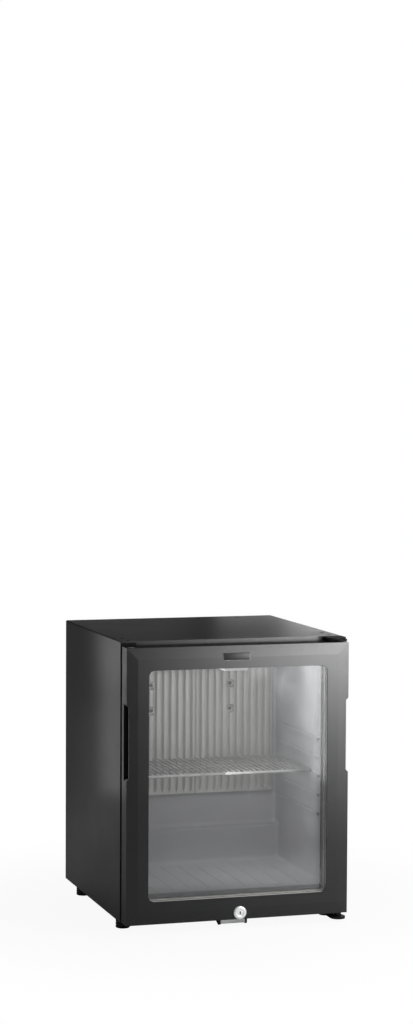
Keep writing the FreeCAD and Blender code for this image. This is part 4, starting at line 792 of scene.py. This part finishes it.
class MINIBAR_OT_glazing(Builder, bpy.types.Operator):
    """Give the panes their glass and the spacers their perforated aluminium"""
    bl_idname = "minibar.glazing"
    bl_label = "Glazing"

    def execute(self, context):
        inside = context.scene.minibar_inside
        for name in ("front_glass", "middle_glass", "rear_glass"):
            paint(pane(name + "_float", inside.glass_tint, inside.glass_mirror, inside.glass_haze),
                  name)
        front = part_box("front_spacer")[0].y
        paint(perforated_spacer("spacer_aluminium", inside.spacer_colour, front), "front_spacer",
              "rear_spacer")
        return {"FINISHED"}


class MINIBAR_OT_seal(Builder, bpy.types.Operator):
    """Sweep the magnetic seal's bellows round the door's rear"""
    bl_idname = "minibar.seal"
    bl_label = "Door seal"

    def execute(self, context):
        low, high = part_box("door_gasket")
        front, back = low.y, high.y
        depth = back - front
        corner = 0.003
        # The bellows in section: how far in from the seal's edge, and how deep behind the door
        profile = [
            (0.0005, front), (0.0115, front), (0.0120, front + depth * 0.12),
            (0.0106, front + depth * 0.22), (0.0102, front + depth * 0.34),
            (0.0112, front + depth * 0.44), (0.0100, front + depth * 0.56),
            (0.0098, front + depth * 0.72), (0.0092, back - 0.0003), (0.0080, back),
            (0.0040, back), (0.0028, back - 0.0003), (0.0022, front + depth * 0.72),
            (0.0020, front + depth * 0.56), (0.0008, front + depth * 0.44),
            (0.0018, front + depth * 0.34), (0.0014, front + depth * 0.22),
            (0.0, front + depth * 0.12),
        ]
        build = loop_profile(profile, high.x, low.z, high.z, corner)
        make_object("seal_bellows", build, seal_rubber("seal_vinyl", (0.012, 0.012, 0.012)), "door",
                    ["door_gasket"], 50.0)
        return {"FINISHED"}


class MINIBAR_OT_badge(Builder, bpy.types.Operator):
    """Make the bare badge plate with its bright rim"""
    bl_idname = "minibar.badge"
    bl_label = "Badge plate"

    def execute(self, context):
        fittings = context.scene.minibar_fittings
        low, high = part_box("badge_plate")
        rim = fittings.badge_rim
        profile = [
            (0.0, high.y), (0.0, low.y + 0.0004), (0.0002, low.y + 0.0001), (0.0005, low.y),
            (rim - 0.0003, low.y), (rim, low.y + 0.0003), (rim + 0.0001, low.y + 0.0007),
            (rim + 0.0001, high.y),
        ]
        build = loop_profile(profile, (high.x - low.x) / 2, low.z, high.z, 0.0012)
        bmesh.ops.translate(build, vec=(centre(low, high)[0], 0, 0), verts=build.verts)
        bright = metal("badge_rim_chrome", fittings.chrome_colour, 0.18)
        make_object("badge_rim", build, bright, "door", ["badge_plate"])
        face = soft_block((low.x + rim, low.y + 0.0005, low.z + rim),
                          (high.x - rim, high.y, high.z - rim), 0.0002)
        dark = moulded("badge_face_lacquer", (0.014, 0.014, 0.015), 0.4, 0.0005, 0.25)
        make_object("badge_face", face, dark, "door")
        return {"FINISHED"}


class MINIBAR_OT_lock(Builder, bpy.types.Operator):
    """Turn the lock's rosette and plug, give its key slot a patch of painted shade, and finish the
    nut and cam
    """
    bl_idname = "minibar.lock"
    bl_label = "Lock"

    def execute(self, context):
        fittings = context.scene.minibar_fittings
        low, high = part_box("lock_housing")
        x, _, z = centre(low, high)
        front = low.y
        outer = (high.x - low.x) / 2
        bore, neck = 0.0051, 0.008
        nickel = metal("lock_satin_nickel", fittings.lock_colour, 0.36, metallic=0.55)
        dark = moulded("keyway_shadow", (0.004, 0.004, 0.004), 0.8)
        wall = front + 0.003
        profile = [(outer, wall), (outer, front + 0.0022), (outer - 0.0003, front + 0.0014),
                   (outer - 0.0010, front + 0.0007), (outer - 0.0022, front + 0.0002),
                   (outer - 0.0036, front), (bore + 0.0014, front),
                   (bore + 0.0009, front + 0.0002), (bore, front + 0.0006)]
        profile += [(bore, high.y), (neck, high.y), (neck, wall), (outer, wall)]
        build = turned(profile, (x, 0, z), "y", 64)
        make_object("lock_rosette", build, nickel, "door", ["lock_housing"])
        plug_low, plug_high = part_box("lock_plug")
        radius = (plug_high.x - plug_low.x) / 2
        half = fittings.keyhole_height / 2
        face = plug_low.y + 0.0004
        cam_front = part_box("lock_cam")[0].y
        profile = [(0.0, face), (radius - 0.0006, face), (radius - 0.0002, face + 0.0001),
                   (radius, face + 0.0004), (radius, cam_front), (0.0, cam_front)]
        build = turned(profile, (x, 0, z), "y", 48)
        tail = 0.003
        soft_block((x - tail, cam_front, z - tail), (x + tail, plug_high.y, z + tail), 0.0003,
                   build)
        make_object("lock_plug_turned", build, nickel, "lock", ["lock_plug"])
        # The key slot is not cut: a thin near-black patch of painted shade on the plug's face.
        slot = bmesh.new()
        for across, up in ((0.0007, half), (0.0013, 0.0010)):
            soft_block((x - across, face - 0.0001, z - up), (x + across, face + 0.0002, z + up),
                       0.0001, slot)
        make_object("key_slot", slot, dark, "lock")
        paint(metal("lock_zinc", fittings.zinc_colour, 0.32), "lock_nut", "lock_cam")
        soften("lock_cam", 0.0003, 35.0)
        soften("lock_nut", 0.0003, 35.0)
        screw_low, screw_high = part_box("cam_screw")
        height = screw_high.y - screw_low.y
        build = pan_screw(bmesh.new(), (x, screw_low.y, z), "+y", 0.0035, height)
        zinc = metal("cam_screw_zinc", fittings.zinc_colour, 0.28)
        make_object("cam_screw_head", build, [zinc, dark], "lock", ["cam_screw"])
        return {"FINISHED"}


class MINIBAR_OT_hinges(Builder, bpy.types.Operator):
    """Finish the hinge arms, pins, cover and the spare slot's blank"""
    bl_idname = "minibar.hinges"
    bl_label = "Hinges"

    def execute(self, context):
        cabinet = context.scene.minibar_cabinet
        coat = powder_coat("hinge_black_coat", shade(cabinet.shell_colour, 0.7), 0.0006, 0.60, 0.12)
        paint(coat, "top_hinge_bracket", "bottom_hinge_bracket", rounding=0.0004)
        paint(metal("hinge_pin_steel", (0.03, 0.03, 0.031), 0.45, (1.0, 1.0, 0.2)), "top_hinge_pin",
              "bottom_hinge_pin")
        plastic = moulded("hinge_cover_plastic", shade(cabinet.plastic_colour, 0.7), 0.66, 0.0006,
                          0.12)
        paint(plastic, "top_hinge_cover", "hinge_slot_blank")
        soften("top_hinge_cover", 0.0009, segments=3)
        soften("hinge_slot_blank", 0.0004)
        return {"FINISHED"}


class MINIBAR_OT_screws(Builder, bpy.types.Operator):
    """Set screw heads with cross recesses in every screw's place"""
    bl_idname = "minibar.screws"
    bl_label = "Screws"

    def execute(self, context):
        fittings = context.scene.minibar_fittings
        black = metal("black_oxide_screw", (0.06, 0.06, 0.062), 0.35)
        zinc = metal("dulled_zinc_screw", shade(fittings.zinc_colour, 0.45), 0.42)
        # Near-black painted shade for the cross recesses of every screw head
        dark = moulded("screw_recess", (0.006, 0.006, 0.006), 0.8)
        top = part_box("outer_shell")[1].z
        low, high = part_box("top_rear_screws")
        count, inset = 5, 0.002
        build = bmesh.new()
        for number in range(count):
            x = low.x + inset + (high.x - low.x - 2 * inset) * number / (count - 1)
            pan_screw(build, (x, centre(low, high)[1], top), "+z", 0.0030, high.z - top)
        screw_heads("top_rear_screws", build, [black, dark])
        low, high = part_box("top_corner_screws")
        build = bmesh.new()
        for x, y in corner_places(low, high, LARGE_HEAD, "y"):
            flush_screw(build, x, y, low.z, top)
        matt = moulded("corner_screw_black", (0.006, 0.006, 0.006), 0.75, 0.0005, 0.15)
        screw_heads("top_corner_screws", build, [matt, dark])
        height = 0.0024
        low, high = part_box("cold_plate_screws")
        build = bmesh.new()
        for x, z in corner_places(low, high, LARGE_HEAD):
            pan_screw(build, (x, low.y + height, z), "-y", LARGE_HEAD, height)
        screw_heads("cold_plate_screws", build, [zinc, dark])
        low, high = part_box("bottom_hinge_screws")
        build = bmesh.new()
        for x in (low.x + LARGE_HEAD, high.x - LARGE_HEAD):
            pan_screw(build, (x, centre(low, high)[1], low.z + height), "-z", LARGE_HEAD, height)
        screw_heads("bottom_hinge_screws", build, [black, dark])
        return {"FINISHED"}


class MINIBAR_OT_keeper(Builder, bpy.types.Operator):
    """Finish the keeper's black bracket and bright bar"""
    bl_idname = "minibar.keeper"
    bl_label = "Keeper"

    def execute(self, context):
        cabinet = context.scene.minibar_cabinet
        fittings = context.scene.minibar_fittings
        coat = powder_coat("keeper_black_coat", shade(cabinet.shell_colour, 0.7), 0.0007, 0.4, 0.5)
        paint(coat, "striker_bracket", rounding=0.0003)
        zinc = metal("keeper_bright_zinc", fittings.chrome_colour, 0.25, (0.1, 1.0, 1.0))
        paint(zinc, "keeper_bar", rounding=0.0004)
        return {"FINISHED"}


class MINIBAR_OT_feet(Builder, bpy.types.Operator):
    """Make the four moulded feet with their ribs"""
    bl_idname = "minibar.feet"
    bl_label = "Feet"

    def execute(self, context):
        cabinet = context.scene.minibar_cabinet
        rubber = moulded("foot_plastic", cabinet.plastic_colour, 0.5, 0.0006, 0.45)
        for name in ("foot_front_left", "foot_front_right", "foot_rear_left", "foot_rear_right"):
            low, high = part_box(name)
            x, y, _ = centre(low, high)
            radius = (high.x - low.x) / 2
            profile = [(0.0, 0.0), (radius - 0.0022, 0.0), (radius - 0.0012, 0.0003),
                       (radius - 0.0004, 0.0010), (radius, 0.0018), (radius, 0.0042),
                       (radius - 0.0008, 0.0048), (radius - 0.0008, 0.0060), (radius, 0.0066),
                       (radius, 0.0090), (radius - 0.0008, 0.0096), (radius - 0.0008, 0.0108),
                       (radius - 0.0001, 0.0114), (radius - 0.0003, 0.0160),
                       (radius - 0.0008, 0.0169), (0.0040, 0.0170), (0.0040, 0.0225),
                       (0.0032, 0.0237), (0.0, 0.0240)]
            build = turned(profile, (x, y, 0), "z", 40)
            make_object(name + "_ribbed", build, rubber, "cabinet", [name])
        return {"FINISHED"}


# Inside

class MINIBAR_OT_liner(Builder, bpy.types.Operator):
    """Finish the formed liner and round its edges"""
    bl_idname = "minibar.liner"
    bl_label = "Liner"

    def execute(self, context):
        inside = context.scene.minibar_inside
        paint(liner_plastic("liner_sheet", inside.liner_colour), "inner_liner")
        soften("inner_liner", 0.0007, 40.0, 3)
        return {"FINISHED"}


class MINIBAR_OT_lamp(Builder, bpy.types.Operator):
    """Finish the lamp's housing, ribbed cover and board; the housing's glow is a painted highlight
    """
    bl_idname = "minibar.lamp"
    bl_label = "Lamp"

    def execute(self, context):
        inside = context.scene.minibar_inside
        # The housing is no lamp: its weaker glow is a painted highlight along its lit front.
        milk = glowing_lens("lamp_housing_milk", (0.86, 0.86, 0.85), inside.lamp_glow * 0.6)
        paint(milk, "lamp_housing", rounding=0.0008)
        paint(glowing_lens("lamp_cover_milk", (0.92, 0.92, 0.90), inside.lamp_glow), "lamp_lens")
        paint(circuit_board("lamp_board_mask", (0.02, 0.12, 0.05)), "lamp_board")
        return {"FINISHED"}


def slope(gap, floor, edge):
    """1 up to the floor's end, then a smooth rise to 0 at the edge."""
    if gap >= edge:
        return 0.0
    if gap <= floor:
        return 1.0
    share = (edge - gap) / (edge - floor)
    return share * share * (3 - 2 * share)


def groove(x, opened):
    """How deep the plate lies at x: 1 on a groove's floor, 0 on a rib or where grooves end."""
    beside = abs(x - SEAM)
    if beside < FIRST_GROOVE - RIB_PITCH / 2:
        return 0.4 * slope(beside, 0.0003, 0.0016)
    gap = abs((beside - FIRST_GROOVE + RIB_PITCH / 2) % RIB_PITCH - RIB_PITCH / 2)
    return slope(gap, 0.0006 * opened, 0.0034 * opened) * min(1.0, opened * 1.6)


def screw_seat(x, z, heads):
    """Flat seats round the screw heads."""
    return max(slope(math.hypot(x - across, z - up), 0.0058, 0.0082) for across, up in heads)


def fold(x, low, high):
    """The plate's upright edges bend back to the wall."""
    return slope(min(x - low, high - x), 0.0, 0.003)


def even_steps(low, high, step):
    """Even steps from side to side."""
    count = round((high - low) / step)
    return [low + (high - low) * number / count for number in range(count + 1)]


def plate_levels(low, high, heads):
    """Close rows at the foot and round the screws, and long ones between."""
    close = [low + 0.00125 * number for number in range(15)]
    for head in sorted(set(heads)):
        close += [head + 0.001 * number for number in range(-10, 11)]
    return sorted(set(round(level, 5) for level in close)) + [high]


class MINIBAR_OT_cold_plate(Builder, bpy.types.Operator):
    """Press the cold plate: upright ribs whose grooves close to points at the foot"""
    bl_idname = "minibar.cold_plate"
    bl_label = "Cold plate"

    def execute(self, context):
        inside = context.scene.minibar_inside
        unit = context.scene.minibar_unit
        low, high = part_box("cold_plate")
        depth = min(inside.rib_depth, high.y - low.y - inside.plate_sheet)
        heads = corner_places(*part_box("cold_plate_screws"), LARGE_HEAD)
        build = bmesh.new()
        rows = []
        for z in plate_levels(low.z, high.z, [z for x, z in heads]):
            opened = min(1.0, max(0.0, (z - low.z - inside.plate_hem) / inside.rib_run_out))
            row = []
            for x in even_steps(low.x, high.x, 0.001):
                sunk = max(groove(x, opened), screw_seat(x, z, heads), fold(x, low.x, high.x))
                row.append(build.verts.new((x, low.y + depth * sunk, z)))
            rows.append(row)
        for lower, upper in zip(rows, rows[1:]):
            for step in range(len(lower) - 1):
                build.faces.new((lower[step], lower[step + 1], upper[step + 1], upper[step]))
        bmesh.ops.recalc_face_normals(build, faces=build.faces)
        if build.faces[:][0].normal.y > 0:
            bmesh.ops.reverse_faces(build, faces=build.faces)
        lacquer = lacquered_plate("cold_plate_lacquer", inside.plate_colour)
        piece = make_object("cold_plate_pressing", build, lacquer, "cabinet",
                            ["cold_plate"], 80.0)
        thick = piece.modifiers.new("sheet", "SOLIDIFY")
        thick.thickness = inside.plate_sheet
        thick.offset = -1.0
        paint(metal("cold_block_aluminium", (0.7, 0.7, 0.71), 0.35), "cold_block")
        paint(tube_paint("cold_tube_paint", unit.tube_colour), "evaporator_tube")
        return {"FINISHED"}


class MINIBAR_OT_shelf(Builder, bpy.types.Operator):
    """Finish the welded wire shelf"""
    bl_idname = "minibar.shelf"
    bl_label = "Wire shelf"

    def execute(self, context):
        inside = context.scene.minibar_inside
        paint(metal("shelf_bright_wire", inside.wire_colour, 0.42, (1.0, 0.2, 1.0), metallic=0.4),
              "wire_shelf")
        return {"FINISHED"}


# Back

class MINIBAR_OT_cooling_unit(Builder, bpy.types.Operator):
    """Paint the cooling unit and add its weld beads, seams and filling stub"""
    bl_idname = "minibar.cooling_unit"
    bl_label = "Cooling unit"

    def execute(self, context):
        unit = context.scene.minibar_unit
        black = tube_paint("unit_dip_paint", unit.tube_colour)
        paint(black, "condenser_tube", "pump_tube", "absorber_vessel", "absorber_coil",
              "gas_heat_exchanger", "unit_brackets", "condenser_fins")
        paint(galvanised("boiler_case_zinc", unit.boiler_colour), "boiler_case")
        paint(metal("heater_steel", (0.55, 0.54, 0.52), 0.35), "heater_cartridge")
        low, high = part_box("absorber_vessel")
        _, y, z = centre(low, high)
        radius = (high.z - low.z) / 2
        ends = [(low.x + 0.014, y, z), (high.x - 0.014, y, z)]
        build = collar(bmesh.new(), ends, radius - 0.0004, 0.004, "x")
        case_low, case_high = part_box("boiler_case")
        x = centre(case_low, case_high)[0]
        collar(build, [(x, y, case_high.z + 0.002)], 0.008, 0.004, "z")
        stub = [(0.0, 0.0), (0.004, 0.0), (0.004, 0.012), (0.0028, 0.013), (0.0028, 0.019),
                (0.0, 0.020)]
        turned(stub, (low.x + 0.035, y, z + radius - 0.0008), "z", 24, build)
        make_object("unit_weld_beads", build, black, "cabinet")
        build = bmesh.new()
        thick, half = 0.0005, 0.005
        for level in (case_low.z + 0.02, case_high.z - 0.02):
            soft_block((case_low.x - thick, case_low.y - thick, level - half),
                       (case_high.x + thick, case_high.y + thick, level + half), 0.0055, build)
        steel = metal("strap_steel", (0.5, 0.5, 0.5), 0.3, (1.0, 1.0, 0.2))
        make_object("boiler_straps", build, steel, "cabinet")
        return {"FINISHED"}


class MINIBAR_OT_control_box(Builder, bpy.types.Operator):
    """Finish the control box, the cord inlet and the thermostat knob"""
    bl_idname = "minibar.control_box"
    bl_label = "Control box"

    def execute(self, context):
        cabinet = context.scene.minibar_cabinet
        fittings = context.scene.minibar_fittings
        plastic = moulded("control_box_plastic", shade(cabinet.plastic_colour, 1.4), 0.55, 0.0009)
        paint(plastic, "control_box", "cord_gland", "thermostat_knob")
        soften("control_box", 0.0008)
        soften("cord_gland", 0.0005)
        soften("thermostat_knob", 0.0003)
        low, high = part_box("control_box")
        build = bmesh.new()
        for x, z in corner_places(low, high, 0.008):
            pan_screw(build, (x, high.y, z), "+y", 0.0032, 0.0018)
        # Near-black painted shade for the box screws' cross recesses
        dark = moulded("box_screw_recess", (0.006, 0.006, 0.006), 0.8)
        zinc = metal("box_screw_zinc", fittings.zinc_colour, 0.3)
        make_object("control_box_screws", build, [zinc, dark], "cabinet")
        knob_low, knob_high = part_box("thermostat_knob")
        x, _, z = centre(knob_low, knob_high)
        mark = soft_block((x - 0.0008, knob_high.y - 0.0001, z + 0.003),
                          (x + 0.0008, knob_high.y + 0.0003, z + 0.0125), 0.0001)
        white = moulded("dial_white_print", (0.8, 0.8, 0.78), 0.5)
        make_object("thermostat_pointer", mark, white, "thermostat")
        build = bmesh.new()
        dots, sweep, reach = 8, 270, 0.0185
        for step in range(dots):
            turn = math.radians(sweep * step / (dots - 1))
            across, up = x + reach * math.sin(turn), z + reach * math.cos(turn)
            size = 0.0007 + 0.0001 * step
            soft_block((across - size, high.y - 0.0001, up - size),
                       (across + size, high.y + 0.0002, up + size), 0.0001, build)
        make_object("thermostat_scale", build, white, "cabinet")
        return {"FINISHED"}


class MINIBAR_PT_panel(bpy.types.Panel):
    """The pieces and settings of the minibar"""
    bl_idname = "MINIBAR_PT_panel"
    bl_label = "Minibar"
    bl_space_type = "VIEW_3D"
    bl_region_type = "UI"
    bl_category = "Minibar"

    def draw(self, context):
        for group in GROUPS.values():
            box = self.layout.box()
            settings = getattr(context.scene, group)
            for name in settings.__annotations__:
                box.prop(settings, name)
        for piece in PIECES:
            self.layout.operator(piece.bl_idname)


GROUPS = {
    CabinetLook: "minibar_cabinet",
    InsideLook: "minibar_inside",
    FittingLook: "minibar_fittings",
    UnitLook: "minibar_unit",
    StageLook: "minibar_stage",
}
PIECES = (
    MINIBAR_OT_stage, MINIBAR_OT_cabinet, MINIBAR_OT_door, MINIBAR_OT_glazing, MINIBAR_OT_seal,
    MINIBAR_OT_badge,
    MINIBAR_OT_lock, MINIBAR_OT_hinges, MINIBAR_OT_screws, MINIBAR_OT_keeper, MINIBAR_OT_feet,
    MINIBAR_OT_liner,
    MINIBAR_OT_lamp, MINIBAR_OT_cold_plate, MINIBAR_OT_shelf, MINIBAR_OT_cooling_unit,
    MINIBAR_OT_control_box,
)


def register():
    """Add the settings, operators and panel to Blender."""
    for group, name in GROUPS.items():
        bpy.utils.register_class(group)
        setattr(bpy.types.Scene, name, bpy.props.PointerProperty(type=group))
    for piece in PIECES + (MINIBAR_PT_panel,):
        bpy.utils.register_class(piece)


def unregister():
    """Take them away again."""
    for piece in (MINIBAR_PT_panel,) + tuple(reversed(PIECES)):
        bpy.utils.unregister_class(piece)
    for group, name in GROUPS.items():
        delattr(bpy.types.Scene, name)
        bpy.utils.unregister_class(group)


def main():
    """Build every piece in order."""
    register()
    for piece in PIECES:
        group, name = piece.bl_idname.split(".")
        getattr(getattr(bpy.ops, group), name)()
    bpy.context.view_layer.update()


if __name__ == "__main__":
    main()
